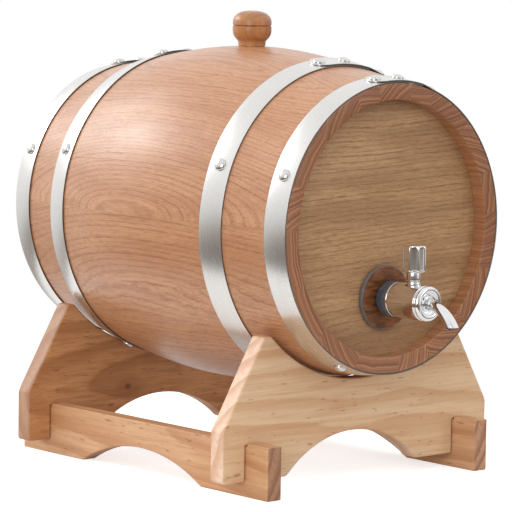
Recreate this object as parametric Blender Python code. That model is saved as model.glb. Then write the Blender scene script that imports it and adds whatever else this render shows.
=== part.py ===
"""Small oak wine barrel with a tap and a bung, resting on a slotted pine cradle.

Metres, +Z up. The barrel lies along Y with its tap end towards -Y. The origin is on the floor under the
middle of the whole object's bounding box. Lengths along the barrel are given as a depth, measured
backwards from the front ends of the staves; at_depth() turns a depth into a Y coordinate.
"""

import math

import bmesh
import bpy
from mathutils import Matrix, Vector

# ---------------------------------------------------------------- driving dimensions, metres
GAP = 0.0003                # clearance kept between pieces that touch

BARREL_LENGTH = 0.342
END_RADIUS = 0.115          # outside of the staves at either end
BILGE_RADIUS = 0.1377       # outside of the staves at the middle
PROFILE_FLATTENING = 0.65   # 0 gives a parabola, 1 a profile that is level at its ends
STAVE_THICKNESS = 0.013
CHIME_INNER_RADIUS = 0.102
AXIS_Z = 0.2069
FRONT_Y = -0.13490          # the front ends of the staves
CELL = math.radians(6)      # every stave is a whole number of these facets wide
STAVE_CELLS = (3, 2, 4, 4, 3, 4, 4, 4, 4, 3, 4, 4, 4, 3, 4, 4, 2)
FIRST_JOINT = math.radians(82)      # right-hand edge of the bung stave, counted from +X

HEAD_DEPTH = 0.012          # how far each head is set in from the stave ends
HEAD_THICKNESS = 0.014
CROZE_WIDTH = 0.0056        # groove that holds the head's rim
CROZE_RADIUS = 0.1055
HEAD_BEVEL_RADIUS = 0.093
HEAD_JOINTS = (-0.031, 0.037)       # heights of the glued plank joints above the barrel's axis

HOOP_WIDTH = 0.0215
HOOP_THICKNESS = 0.001
FRONT_QUARTER_DEPTH = 0.0635        # near edge of the front quarter hoop
REAR_QUARTER_DEPTH = 0.2600         # near edge of the rear quarter hoop
LAP_START = math.radians(76)        # inner end of the strip
LAP_END = math.radians(100)         # rounded outer end of the strip
NAIL_ANGLES = (67, 157, 247, 337)
RIVET_ANGLES = (85, 97)
NAIL_HEAD_RADIUS = 0.005
NAIL_HEAD_HEIGHT = 0.003
NAIL_SHANK_RADIUS = 0.0012
NAIL_LENGTH = 0.008
NAIL_HOLE_RADIUS = 0.0016

BUNG_DEPTH = 0.1742
BUNG_NECK_RADIUS = 0.0114
BUNG_KNOB_RADIUS = 0.0161
BUNG_HEIGHT = 0.0292

TAP_Z = 0.1513
TAP_RADIUS = 0.014
TAP_SHANK_RADIUS = 0.0104
TAP_SHOULDER_DEPTH = -0.0038        # rear face of the body, in front of the stave ends
TAP_FRONT_DEPTH = -0.0368
WATERWAY_RADIUS = 0.0026
KEY_DEPTH = -0.0228
KEY_STEM_RADIUS = 0.0058
KEY_KNOB_RADIUS = 0.0100
KEY_KNOB_BASE_Z = 0.1750
KEY_KNOB_TOP_Z = 0.1962
KNOB_FLUTES = 8
SPOUT_BEND_DEPTH = -0.0396
SPOUT_BEND_RADIUS = 0.0356
SPOUT_TIP_Z = 0.1362

STAND_WIDTH = 0.2896
CRADLE_THICKNESS = 0.015
CRADLE_BOTTOM_Z = 0.0118
CRADLE_SHOULDER_Z = 0.0529
CRADLE_TOP_Z = 0.1243
CRADLE_TOP_HALF_WIDTH = 0.1035
SADDLE_RADIUS = 0.134
FRONT_CRADLE_DEPTH = 0.0355
REAR_CRADLE_DEPTH = 0.2842
FRONT_ARCH = (-0.0068, 0.0980, 0.0420)      # x of its middle, radius, height of its top
REAR_ARCH = (-0.0007, 0.1070, 0.0408)
ARCH_FOOT_RADIUS = 0.006
RAIL_OUTER_X = 0.1206
RAIL_THICKNESS = 0.014
RAIL_HEIGHT = 0.0422
RAIL_FRONT_DEPTH = 0.0097
RAIL_REAR_DEPTH = 0.3223
RAIL_ARCH_RADIUS = 0.1504
RAIL_ARCH_TOP_Z = 0.0205
RAIL_SLOT_DEPTH = 0.002
NOTCH_PLAY = 0.0009                 # how much wider than the rail a cradle's notch is


# ---------------------------------------------------------------- materials
def make_material(name, colour, roughness, metallic=0.0):
    material = bpy.data.materials.new(name)
    material.use_nodes = True
    shader = material.node_tree.nodes["Principled BSDF"]
    shader.inputs["Base Color"].default_value = (*colour, 1.0)
    shader.inputs["Roughness"].default_value = roughness
    shader.inputs["Metallic"].default_value = metallic
    return material


def make_materials():
    return {
        "stave_oak": make_material("stave_oak", (0.55, 0.34, 0.23), 0.45),
        "head_oak": make_material("head_oak", (0.38, 0.24, 0.14), 0.55),
        "bung_wood": make_material("bung_wood", (0.45, 0.22, 0.10), 0.35),
        "pine": make_material("pine", (0.62, 0.42, 0.25), 0.55),
        "hoop_steel": make_material("hoop_steel", (0.72, 0.71, 0.69), 0.28, 1.0),
        "nail_steel": make_material("nail_steel", (0.80, 0.79, 0.77), 0.15, 1.0),
        "chrome": make_material("chrome", (0.85, 0.85, 0.86), 0.06, 1.0),
        "silicone": make_material("silicone", (0.13, 0.15, 0.18), 0.5),
    }


# ---------------------------------------------------------------- mesh helpers
def at_depth(depth):
    return FRONT_Y + depth


def add_object(name, mesh_builder, material, origin=(0.0, 0.0, 0.0), smooth_angle=40):
    """Turns a bmesh given in world coordinates into an object whose origin is at the given point."""
    bmesh.ops.remove_doubles(mesh_builder, verts=mesh_builder.verts, dist=1e-6)
    bmesh.ops.recalc_face_normals(mesh_builder, faces=mesh_builder.faces)
    bmesh.ops.translate(mesh_builder, verts=mesh_builder.verts, vec=-Vector(origin))
    mesh = bpy.data.meshes.new(name)
    mesh_builder.to_mesh(mesh)
    mesh_builder.free()
    mesh.shade_smooth()
    mesh.set_sharp_from_angle(angle=math.radians(smooth_angle))
    mesh.materials.append(material)
    thing = bpy.data.objects.new(name, mesh)
    thing.location = origin
    bpy.context.scene.collection.objects.link(thing)
    return thing


def add_loft(builder, rings, closed=False):
    """Joins equal rings of points into a skin; an open loft gets a flat cap at each end."""
    loops = [[builder.verts.new(point) for point in ring] for ring in rings]
    pairs = list(zip(loops, loops[1:] + loops[:1])) if closed else list(zip(loops, loops[1:]))
    for near, far in pairs:
        for i in range(len(near)):
            j = (i + 1) % len(near)
            builder.faces.new((near[i], near[j], far[j], far[i]))
    if not closed:
        builder.faces.new(loops[0][::-1])
        builder.faces.new(loops[-1])


def add_turned(builder, profile, steps, place, start=0.0, closed=False):
    """Turns (radius, height) points about an axis. place is the matrix from the axis frame to the world.

    An open profile begins and ends on the axis, at radius 0. A closed one makes a ring.
    """
    loops = []
    for radius, height in profile:
        if radius == 0.0:
            loops.append([builder.verts.new(place @ Vector((0.0, 0.0, height)))])
            continue
        turn = [start + 2 * math.pi * k / steps for k in range(steps)]
        ring = [Vector((radius * math.cos(a), radius * math.sin(a), height)) for a in turn]
        loops.append([builder.verts.new(place @ point) for point in ring])
    pairs = zip(loops, loops[1:] + loops[:1]) if closed else zip(loops, loops[1:])
    for near, far in pairs:
        for i in range(steps):
            j = (i + 1) % steps
            corners = [near[i % len(near)], near[j % len(near)], far[j % len(far)], far[i % len(far)]]
            builder.faces.new(list(dict.fromkeys(corners)))


def add_extrusion(builder, outline, place):
    """Extrudes a flat outline of (u, v) points; place(u, v, end) gives the world point at end 0 or 1."""
    add_loft(builder, [[place(u, v, end) for u, v in outline] for end in (0, 1)])


def along_barrel(depth, z=AXIS_Z):
    """Axis frame whose height runs backwards along the barrel from the given depth."""
    turn = Matrix(((1, 0, 0), (0, 0, 1), (0, -1, 0))).to_4x4()
    return Matrix.Translation((0.0, at_depth(depth), z)) @ turn


def upright(depth, z):
    """Axis frame that stands upright on the barrel's middle plane."""
    return Matrix.Translation((0.0, at_depth(depth), z))


def turned_object(name, profile, steps, place, material, closed=False, origin=(0.0, 0.0, 0.0), start=0.0):
    builder = bmesh.new()
    add_turned(builder, profile, steps, place, start, closed)
    return add_object(name, builder, material, origin)


def make_cutter(name, builder):
    """A cutting tool for Boolean modifiers, left out of the build."""
    cutter = add_object(name, builder, bpy.data.materials["chrome"])
    cutter.hide_render = True
    cutter.display_type = "WIRE"
    return cutter


def cut(target, cutter):
    modifier = target.modifiers.new(f"cut_{cutter.name}", "BOOLEAN")
    modifier.operation = "DIFFERENCE"
    modifier.object = cutter


def arc(centre, radius, start, end, steps):
    """Points on an arc from one angle to another, in radians, both ends included."""
    turn = [start + (end - start) * k / steps for k in range(steps + 1)]
    return [(centre[0] + radius * math.cos(a), centre[1] + radius * math.sin(a)) for a in turn]


# ---------------------------------------------------------------- staves
def stave_radius(depth):
    """Outside radius of the staves at a depth."""
    t = depth / (BARREL_LENGTH / 2) - 1
    rise = (1 - t * t) * (1 - PROFILE_FLATTENING * t * t)
    return END_RADIUS + (BILGE_RADIUS - END_RADIUS) * rise


def on_barrel(radius, angle, depth):
    return Vector((radius * math.cos(angle), at_depth(depth), AXIS_Z + radius * math.sin(angle)))


def hoop_depths():
    """Near edge of each hoop, by name."""
    return {
        "front_head_hoop": 0.0,
        "front_quarter_hoop": FRONT_QUARTER_DEPTH,
        "rear_quarter_hoop": REAR_QUARTER_DEPTH,
        "rear_head_hoop": BARREL_LENGTH - HOOP_WIDTH,
    }


def stave_stations():
    """Depths where the outside profile has a corner: the hoops' edges and points between them."""
    edges = sorted(depth + side for depth in hoop_depths().values() for side in (0.0, HOOP_WIDTH))
    stations = list(edges)
    for near, far, parts in zip(edges[1::2], edges[2::2], (1, 4, 1)):
        stations += [near + (far - near) * k / parts for k in range(1, parts)]
    return sorted(stations)


def stave_profile():
    """Closed (radius, depth) outline of a stave: outside, then croze grooves and the hollowed inside."""
    outside = [(stave_radius(depth), depth) for depth in stave_stations()]
    groove_end = HEAD_DEPTH + CROZE_WIDTH
    front = [
        (CHIME_INNER_RADIUS, 0.0),
        (CHIME_INNER_RADIUS, HEAD_DEPTH),
        (CROZE_RADIUS, HEAD_DEPTH),
        (CROZE_RADIUS, groove_end),
        (stave_radius(groove_end) - STAVE_THICKNESS, groove_end),
    ]
    rear = [(radius, BARREL_LENGTH - depth) for radius, depth in front]
    middle = [
        (radius - STAVE_THICKNESS, depth)
        for radius, depth in outside
        if HEAD_DEPTH + HEAD_THICKNESS < depth < BARREL_LENGTH - HEAD_DEPTH - HEAD_THICKNESS
    ]
    return outside + rear + middle[::-1] + front[::-1]


def stave_spans():
    """Start angle and number of facets of each stave, counter-clockwise seen from the tap end."""
    spans, start = [], FIRST_JOINT
    for cells in STAVE_CELLS:
        spans.append((start, cells))
        start += cells * CELL
    return spans


def stave_name(index):
    return "bung_stave" if index == 0 else f"stave_{index + 1:02d}"


def make_staves(materials):
    profile = stave_profile()
    half_gap = GAP / 2 / CHIME_INNER_RADIUS
    staves = {}
    for index, (start, cells) in enumerate(stave_spans()):
        angles = [start + k * CELL for k in range(cells + 1)]
        angles[0] += half_gap
        angles[-1] -= half_gap
        builder = bmesh.new()
        add_loft(builder, [[on_barrel(r, a, depth) for r, depth in profile] for a in angles])
        name = stave_name(index)
        staves[name] = add_object(name, builder, materials["stave_oak"])
    return staves


# ---------------------------------------------------------------- heads
def head_solid():
    """A whole head as (radius, height) points, its height running inwards from its outside face."""
    rim = CROZE_RADIUS - GAP
    tongue = CROZE_WIDTH - 2 * GAP
    inner = CHIME_INNER_RADIUS - 0.001
    return [
        (0.0, 0.0),
        (rim, 0.0),
        (rim, tongue),
        (inner, tongue),
        (HEAD_BEVEL_RADIUS, HEAD_THICKNESS),
        (0.0, HEAD_THICKNESS),
    ]


def keep_between(builder, low, high):
    """Cuts a solid down to the slab between two heights and closes the cut faces."""
    for level, side in ((low, -1), (high, 1)):
        everything = builder.verts[:] + builder.edges[:] + builder.faces[:]
        cut_faces = bmesh.ops.bisect_plane(
            builder, geom=everything, plane_co=(0, 0, level), plane_no=(0, 0, side), clear_outer=True
        )
        edges = [item for item in cut_faces["geom_cut"] if isinstance(item, bmesh.types.BMEdge)]
        if edges:
            bmesh.ops.holes_fill(builder, edges=edges)


def make_head(end, materials):
    """The three planks of one head, which are glued edge to edge."""
    if end == "front":
        place = along_barrel(HEAD_DEPTH + GAP)
    else:
        place = along_barrel(BARREL_LENGTH - HEAD_DEPTH - GAP) @ Matrix.Scale(-1, 4, (0, 0, 1))
    levels = [-END_RADIUS, *HEAD_JOINTS, END_RADIUS]
    planks = []
    for number, (low, high) in enumerate(zip(levels, levels[1:]), start=1):
        builder = bmesh.new()
        steps = round(2 * math.pi / CELL)
        add_turned(builder, head_solid(), steps, place, start=-FIRST_JOINT)
        keep_between(builder, AXIS_Z + low + GAP / 2, AXIS_Z + high - GAP / 2)
        planks.append(add_object(f"{end}_head_plank_{number}", builder, materials["head_oak"]))
    return planks


# ---------------------------------------------------------------- hoops, nails and rivets
def hoop_radius(near, depth):
    """Inside radius of the hoop whose near edge is given, at a depth within its width."""
    share = (depth - near) / HOOP_WIDTH
    return GAP + stave_radius(near) * (1 - share) + stave_radius(near + HOOP_WIDTH) * share


def hoop_slope(near):
    return math.atan2(stave_radius(near + HOOP_WIDTH) - stave_radius(near), HOOP_WIDTH)


def strip_stations(near):
    """(angle, lift, half width) along the strip, from its inner end round to its rounded outer end."""
    lift = HOOP_THICKNESS + GAP
    half = HOOP_WIDTH / 2
    whole_turn = 2 * math.pi
    facets = round(whole_turn / CELL)
    stations = [(LAP_START + k * CELL, 0.0, half) for k in range(facets)]
    lap_facets = round((LAP_END - LAP_START) / CELL)
    stations += [(LAP_START + whole_turn + k * CELL, lift, half) for k in range(lap_facets)]
    radius = hoop_radius(near, near + half)
    for share in (1.0, 0.64, 0.36, 0.16, 0.04):
        back = half * share
        width = math.sqrt(half**2 - (half - back) ** 2)
        stations.append((LAP_END + whole_turn - back / radius, lift, width))
    return stations


def make_hoop(name, near, materials):
    builder = bmesh.new()
    rings = []
    middle = near + HOOP_WIDTH / 2
    for angle, lift, half in strip_stations(near):
        low, high = hoop_radius(near, middle - half) + lift, hoop_radius(near, middle + half) + lift
        corners = (
            (low, middle - half),
            (low + HOOP_THICKNESS, middle - half),
            (high + HOOP_THICKNESS, middle + half),
            (high, middle + half),
        )
        rings.append([on_barrel(radius, angle, depth) for radius, depth in corners])
    add_loft(builder, rings)
    return add_object(name, builder, materials["hoop_steel"])


def fastener_frame(near, degrees, lift):
    """Axis frame with its height along the hoop's outward normal, and its zero on the outside face."""
    angle = math.radians(degrees)
    middle = near + HOOP_WIDTH / 2
    foot = on_barrel(hoop_radius(near, middle) + HOOP_THICKNESS + lift, angle, middle)
    slope = hoop_slope(near)
    outward = Vector((math.cos(angle), 0.0, math.sin(angle)))
    normal = outward * math.cos(slope) - Vector((0.0, 1.0, 0.0)) * math.sin(slope)
    side = Vector((-math.sin(angle), 0.0, math.cos(angle)))
    return Matrix.Translation(foot) @ Matrix((side, normal.cross(side), normal)).transposed().to_4x4()


def dome_profile(base):
    """The domed head of a nail or rivet, from its top down to the edge of its underside."""
    return [
        (0.0, base + NAIL_HEAD_HEIGHT),
        (NAIL_HEAD_RADIUS * 0.55, base + NAIL_HEAD_HEIGHT * 0.80),
        (NAIL_HEAD_RADIUS * 0.90, base + NAIL_HEAD_HEIGHT * 0.35),
        (NAIL_HEAD_RADIUS, base),
        (NAIL_SHANK_RADIUS, base),
    ]


def make_nails(materials):
    """Sixteen domed nails, each in its own object, and the cutter for their holes."""
    holes = bmesh.new()
    point = 0.002
    bottom = -NAIL_LENGTH - GAP
    hole = [(0.0, point), (NAIL_HOLE_RADIUS, point), (NAIL_HOLE_RADIUS, bottom), (0.0, bottom)]
    shank = [(NAIL_SHANK_RADIUS, point - NAIL_LENGTH), (0.0, -NAIL_LENGTH)]
    for name, near in hoop_depths().items():
        for number, degrees in enumerate(NAIL_ANGLES, start=1):
            place = fastener_frame(near, degrees, 0.0)
            nail = f"{name.replace('hoop', 'nail')}_{number}"
            turned_object(nail, dome_profile(GAP) + shank, 8, place, materials["nail_steel"])
            add_turned(holes, hole, 8, place)
    return make_cutter("nail_holes", holes)


def set_rivets(hoop, near):
    """Joins the hoop's two rivets, which close its lap for good, to the strip."""
    lift = HOOP_THICKNESS + GAP
    sunk = 0.0001
    rivets = bmesh.new()
    profile = dome_profile(-sunk)
    profile += [(NAIL_SHANK_RADIUS, sunk - lift - HOOP_THICKNESS), (0.0, sunk - lift - HOOP_THICKNESS)]
    for degrees in RIVET_ANGLES:
        add_turned(rivets, profile, 8, fastener_frame(near, degrees, lift))
    modifier = hoop.modifiers.new("set_rivets", "BOOLEAN")
    modifier.operation = "UNION"
    modifier.object = make_cutter(f"{hoop.name}_rivets", rivets)


def make_hoops(staves, materials):
    """The four hoops with their rivets, the nails, and the nails' holes in hoops and staves."""
    nail_holes = make_nails(materials)
    for name, near in hoop_depths().items():
        hoop = make_hoop(name, near, materials)
        set_rivets(hoop, near)
        cut(hoop, nail_holes)
    for index, (start, cells) in enumerate(stave_spans()):
        turns = [(math.radians(degrees) - start) % (2 * math.pi) for degrees in NAIL_ANGLES]
        if any(turn < cells * CELL for turn in turns):
            cut(staves[stave_name(index)], nail_holes)


# ---------------------------------------------------------------- bung
def make_bung(staves, materials):
    """Turned bung with a grooved knob, a short neck and a tapered shank, in its tapered hole."""
    surface = AXIS_Z + BILGE_RADIUS
    place = upright(BUNG_DEPTH, surface)
    neck, knob = BUNG_NECK_RADIUS, BUNG_KNOB_RADIUS
    shank_top, shank_end, shank_length = 0.0108, 0.0096, 0.020
    profile = [
        (0.0, BUNG_HEIGHT),
        (knob * 0.42, BUNG_HEIGHT - 0.0007),
        (knob * 0.74, BUNG_HEIGHT - 0.0030),
        (knob * 0.94, BUNG_HEIGHT - 0.0068),
        (knob, 0.0196),
        (knob, 0.0174),
        (knob - 0.0008, 0.0168),
        (knob, 0.0162),
        (knob, 0.0118),
        (knob * 0.91, 0.0078),
        (neck, 0.0036),
        (neck, GAP),
        (shank_top, GAP),
        (shank_end, -shank_length),
        (0.0, -shank_length),
    ]
    origin = place.translation
    bung = turned_object("bung", profile, 24, place, materials["bung_wood"], origin=origin)

    slack = 0.0005
    hole = bmesh.new()
    taper = (shank_top - shank_end) / shank_length
    hole_profile = [
        (0.0, 0.004),
        (shank_top + slack + 0.004 * taper, 0.004),
        (shank_end + slack, -shank_length),
        (0.0, -shank_length),
    ]
    add_turned(hole, hole_profile, 24, place)
    cut(staves["bung_stave"], make_cutter("bung_hole", hole))
    return bung


# ---------------------------------------------------------------- tap
def ring_profile(inner, outer, near, far):
    """Closed outline of a flat ring between two heights along its axis."""
    return [(outer, near), (outer, far), (inner, far), (inner, near)]


def make_tap_body(materials):
    """Body and threaded shank in one piece, bored for the waterway and for the plug."""
    shank_end = 0.0430
    chamfer = 0.0006
    profile = [
        (0.0, TAP_FRONT_DEPTH),
        (TAP_RADIUS - chamfer, TAP_FRONT_DEPTH),
        (TAP_RADIUS, TAP_FRONT_DEPTH + chamfer),
        (TAP_RADIUS, TAP_SHOULDER_DEPTH - chamfer),
        (TAP_RADIUS - chamfer, TAP_SHOULDER_DEPTH),
        (TAP_SHANK_RADIUS, TAP_SHOULDER_DEPTH),
        (TAP_SHANK_RADIUS, shank_end),
        (0.0, shank_end),
    ]
    place = along_barrel(0.0, TAP_Z)
    body = turned_object("tap_body", profile, 24, place, materials["chrome"])
    bores = bmesh.new()
    front, rear = TAP_FRONT_DEPTH - 0.002, shank_end + 0.002
    waterway = [(0.0, front), (WATERWAY_RADIUS, front), (WATERWAY_RADIUS, rear), (0.0, rear)]
    add_turned(bores, waterway, 12, place, start=math.pi / 12)
    cut(body, make_cutter("waterway_bore", bores))
    bores = bmesh.new()
    chamber = 0.0063
    low, high = -0.0093, TAP_RADIUS + 0.003
    plug_bore = [(0.0, low), (chamber, low), (chamber, high), (0.0, high)]
    add_turned(bores, plug_bore, 24, upright(KEY_DEPTH, TAP_Z), start=math.pi / 24)
    cut(body, make_cutter("plug_bore", bores))


def make_tap_seals(planks, materials):
    """What lies along the shank: washers and seals on both faces of the head, and the lock nut."""
    place = along_barrel(0.0, TAP_Z)
    bore = TAP_SHANK_RADIUS + GAP
    head_inside = HEAD_DEPTH + GAP + HEAD_THICKNESS
    pad_front = 0.0078
    flange_radius, grommet_radius = 0.0260, 0.0142
    step_depth, sleeve_radius = 0.0042, 0.0120
    flange = ring_profile(bore, flange_radius, pad_front, HEAD_DEPTH)
    turned_object("head_pad", flange, 32, place, materials["silicone"], closed=True)
    grommet = [
        (grommet_radius, TAP_SHOULDER_DEPTH + GAP),
        (grommet_radius, step_depth),
        (sleeve_radius, step_depth),
        (sleeve_radius, pad_front - GAP),
        (bore, pad_front - GAP),
        (bore, TAP_SHOULDER_DEPTH + GAP),
    ]
    turned_object("tap_grommet", grommet, 24, place, materials["silicone"], closed=True)
    seal_end = head_inside + GAP + 0.002
    seal = ring_profile(bore, 0.0150, head_inside + GAP, seal_end)
    turned_object("inner_seal", seal, 24, place, materials["silicone"], closed=True)
    washer_end = seal_end + GAP + 0.0015
    washer = ring_profile(bore, 0.0165, seal_end + GAP, washer_end)
    turned_object("inner_washer", washer, 24, place, materials["nail_steel"], closed=True)
    make_lock_nut(washer_end + GAP, bore, materials)

    hole = bmesh.new()
    hole_radius = 0.0112
    front, rear = HEAD_DEPTH - 0.002, head_inside + 0.002
    profile = [(0.0, front), (hole_radius, front), (hole_radius, rear), (0.0, rear)]
    add_turned(hole, profile, 24, place)
    cut(planks[0], make_cutter("tap_hole", hole))


def make_lock_nut(near, bore, materials):
    """Hexagon nut on the shank's inner end."""
    across_corners, thickness, steps = 0.0156, 0.007, 24
    builder = bmesh.new()
    place = along_barrel(0.0, TAP_Z)
    rings = []
    for inner, height in ((False, near), (False, near + thickness), (True, near + thickness), (True, near)):
        ring = []
        for k in range(steps):
            angle = 2 * math.pi * k / steps
            from_flat = (angle + math.pi / 6) % (math.pi / 3) - math.pi / 6
            flat = across_corners * math.cos(math.pi / 6) / math.cos(abs(from_flat))
            radius = bore if inner else flat
            ring.append(place @ Vector((radius * math.cos(angle), radius * math.sin(angle), height)))
        rings.append(ring)
    add_loft(builder, rings, closed=True)
    add_object("lock_nut", builder, materials["nail_steel"])


def make_tap_nose(materials):
    """Rounded cap on the front of the body, hollowed towards the spout."""
    bore, depth, lip = 0.0048, 0.0050, 0.0024
    near = GAP
    profile = [(bore, near), (TAP_RADIUS, near)]
    profile += [
        (TAP_RADIUS - lip + u, depth - lip + v)
        for u, v in arc((0.0, 0.0), lip, 0.0, math.pi / 2, 3)
    ]
    profile += [(0.0096, depth), (0.0082, depth - 0.0016), (bore, depth - 0.0030)]
    place = along_barrel(TAP_FRONT_DEPTH, TAP_Z) @ Matrix.Scale(-1, 4, (0, 0, 1))
    turned_object("tap_nose", profile, 24, place, materials["chrome"], closed=True)


def spout_path():
    """(point, direction, outer radius) down the spout's centreline, ending at its level mouth."""
    start, finish = math.radians(5), math.radians(58)
    steps = 7
    tail_depth, bend_z = TAP_FRONT_DEPTH - 0.0006, TAP_Z + 0.0005
    path = [((tail_depth, TAP_Z), 0.0, 0.0040), ((SPOUT_BEND_DEPTH + 0.0008, bend_z), start, 0.0040)]
    for k in range(1, steps + 1):
        angle = start + (finish - start) * k / steps
        depth = SPOUT_BEND_DEPTH - SPOUT_BEND_RADIUS * (math.sin(angle) - math.sin(start))
        z = bend_z - SPOUT_BEND_RADIUS * (math.cos(start) - math.cos(angle))
        path.append(((depth, z), angle, 0.0040 + 0.0012 * k / steps))
    return path


def make_spout(materials):
    """Curved tube with a flared end, cut level at its mouth."""
    rings_outer, rings_inner = [], []
    path = spout_path()
    steps = 12
    for number, ((depth, z), angle, radius) in enumerate(path):
        centre = Vector((0.0, at_depth(depth), z))
        forward = Vector((0.0, -math.cos(angle), -math.sin(angle)))
        across = Vector((1.0, 0.0, 0.0))
        up = forward.cross(across)
        for rings, size in ((rings_outer, radius), (rings_inner, WATERWAY_RADIUS)):
            ring = []
            for k in range(steps):
                turn = 2 * math.pi * k / steps
                point = centre + size * (math.cos(turn) * across + math.sin(turn) * up)
                if number == len(path) - 1:
                    point += forward * ((point.z - SPOUT_TIP_Z) / -forward.z)
                ring.append(point)
            rings.append(ring)
    builder = bmesh.new()
    add_loft(builder, rings_outer + rings_inner[::-1], closed=True)
    add_object("spout", builder, materials["chrome"])


def make_key(materials):
    """Quarter-turn key: the cross-bored plug, its stem and seal, and the fluted knob."""
    hinge = bpy.data.objects.new("key_axis", None)
    hinge.location = (0.0, at_depth(KEY_DEPTH), TAP_Z)
    bpy.context.scene.collection.objects.link(hinge)
    origin = tuple(hinge.location)
    place = upright(KEY_DEPTH, TAP_Z)

    plug_radius, plug_low, plug_high = 0.0060, -0.0090, 0.0072
    tang_radius, tang_length = 0.0026, 0.0036
    socket = tang_radius + GAP
    plug_profile = [
        (0.0, plug_low),
        (plug_radius, plug_low),
        (plug_radius, plug_high),
        (socket, plug_high),
        (socket, plug_high - tang_length - GAP),
        (0.0, plug_high - tang_length - GAP),
    ]
    plug = turned_object("valve_plug", plug_profile, 24, place, materials["nail_steel"], origin=origin)
    bore = bmesh.new()
    across = Matrix.Translation(hinge.location) @ Matrix.Rotation(math.pi / 2, 4, "Y")
    reach, level = 0.008, WATERWAY_RADIUS
    bore_profile = [(0.0, -reach), (level, -reach), (level, reach), (0.0, reach)]
    add_turned(bore, bore_profile, 12, across)
    cut(plug, make_cutter("plug_waterway", bore))

    groove_radius, groove_low, groove_high = 0.0042, 0.0085, 0.0105
    knob_base = KEY_KNOB_BASE_Z - TAP_Z
    knob_top = KEY_KNOB_TOP_Z - TAP_Z
    spigot_radius, spigot_length = 0.0030, 0.0120
    stem_profile = [
        (0.0, plug_high - tang_length),
        (tang_radius, plug_high - tang_length),
        (tang_radius, plug_high + GAP),
        (KEY_STEM_RADIUS, plug_high + GAP),
        (KEY_STEM_RADIUS, groove_low),
        (groove_radius, groove_low),
        (groove_radius, groove_high),
        (KEY_STEM_RADIUS, groove_high),
        (KEY_STEM_RADIUS, knob_base - GAP),
        (spigot_radius, knob_base - GAP),
        (spigot_radius, knob_base + spigot_length),
        (0.0, knob_base + spigot_length),
    ]
    stem = turned_object("key_stem", stem_profile, 24, place, materials["chrome"], origin=origin)
    seal = ring_profile(groove_radius + GAP, 0.0059, groove_low + GAP, groove_high - GAP)
    seal = turned_object("stem_seal", seal, 24, place, materials["silicone"], True, origin)
    knob = make_knob(place, origin, knob_base, knob_top, spigot_radius, spigot_length, materials)
    for piece in (plug, stem, seal, knob):
        piece.location = (0.0, 0.0, 0.0)
        piece.parent = hinge


def make_knob(place, origin, base, top, spigot_radius, spigot_length, materials):
    """Fluted grip with rounded ends and a blind socket for the stem's spigot."""
    points_per_flute = 4
    steps = KNOB_FLUTES * points_per_flute
    depth, ease = 0.0011, 0.0022
    rings = []
    for share, height in ((0.76, base), (1.0, base + ease), (1.0, top - ease), (0.80, top)):
        ring = []
        for k in range(steps):
            valley = k % points_per_flute in (1, 2)
            radius = KEY_KNOB_RADIUS * share - (depth if valley and share == 1.0 else 0.0)
            turn = 2 * math.pi * (k - 1.5) / steps
            ring.append(place @ Vector((radius * math.cos(turn), radius * math.sin(turn), height)))
        rings.append(ring)
    builder = bmesh.new()
    add_loft(builder, rings)
    knob = add_object("key_knob", builder, materials["chrome"], origin, smooth_angle=20)
    socket = bmesh.new()
    radius, floor = spigot_radius + GAP, base + spigot_length + GAP
    add_turned(socket, [(0.0, floor), (radius, floor), (radius, base - 0.002), (0.0, base - 0.002)], 16, place)
    cut(knob, make_cutter("knob_socket", socket))
    return knob


# ---------------------------------------------------------------- stand
def saddle_centre_z(depth):
    """Height of the saddle arc's centre in a cradle: the arc just clears the barrel's underside."""
    rest_radius = max(stave_radius(depth), stave_radius(depth + CRADLE_THICKNESS))
    return AXIS_Z - rest_radius - GAP + SADDLE_RADIUS


def notch_sides(side):
    """Low and high X of a cradle's notch around the rail on one side, -1 or 1."""
    low = min(side * RAIL_OUTER_X, side * (RAIL_OUTER_X - RAIL_THICKNESS))
    return low - NOTCH_PLAY, low + RAIL_THICKNESS + GAP


def cradle_outline(depth, arch_shape):
    """(x, z) outline of a cradle board, counter-clockwise from the foot right of the arch."""
    notch_top = RAIL_HEIGHT - RAIL_SLOT_DEPTH + GAP
    bottom, half = CRADLE_BOTTOM_Z, STAND_WIDTH / 2
    ease = 0.002
    arch_x, arch_radius, arch_top_z = arch_shape
    arch_centre_z = arch_top_z - arch_radius
    foot_z = bottom + ARCH_FOOT_RADIUS
    foot_reach = math.sqrt((arch_radius + ARCH_FOOT_RADIUS) ** 2 - (foot_z - arch_centre_z) ** 2)
    tangent = math.atan2(foot_z - arch_centre_z, foot_reach)
    saddle_z = saddle_centre_z(depth)
    saddle_end = math.asin((CRADLE_TOP_Z - saddle_z) / SADDLE_RADIUS)

    def notch(side):
        low, high = notch_sides(side)
        return [(low, bottom), (low, notch_top), (high, notch_top), (high, bottom)]

    right = notch(1)
    right += [(half - ease, bottom), (half, bottom + ease), (half, CRADLE_SHOULDER_Z)]
    right += [(CRADLE_TOP_HALF_WIDTH, CRADLE_TOP_Z)]
    saddle = arc((0.0, saddle_z), SADDLE_RADIUS, saddle_end, -math.pi - saddle_end, 24)
    left = [(-x, z) for x, z in right[4:][::-1]] + notch(-1)
    left_foot = arc((arch_x - foot_reach, foot_z), ARCH_FOOT_RADIUS, -math.pi / 2, -tangent, 2)
    arch = arc((arch_x, arch_centre_z), arch_radius, math.pi - tangent, tangent, 16)
    right_foot = [(2 * arch_x - x, z) for x, z in left_foot[::-1]]
    return right + saddle + left + left_foot + arch[1:-1] + right_foot


def make_cradle(name, depth, arch_shape, materials):
    builder = bmesh.new()
    ends = (at_depth(depth), at_depth(depth + CRADLE_THICKNESS))
    add_extrusion(builder, cradle_outline(depth, arch_shape), lambda x, z, end: (x, ends[end], z))
    return add_object(name, builder, materials["pine"])


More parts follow.
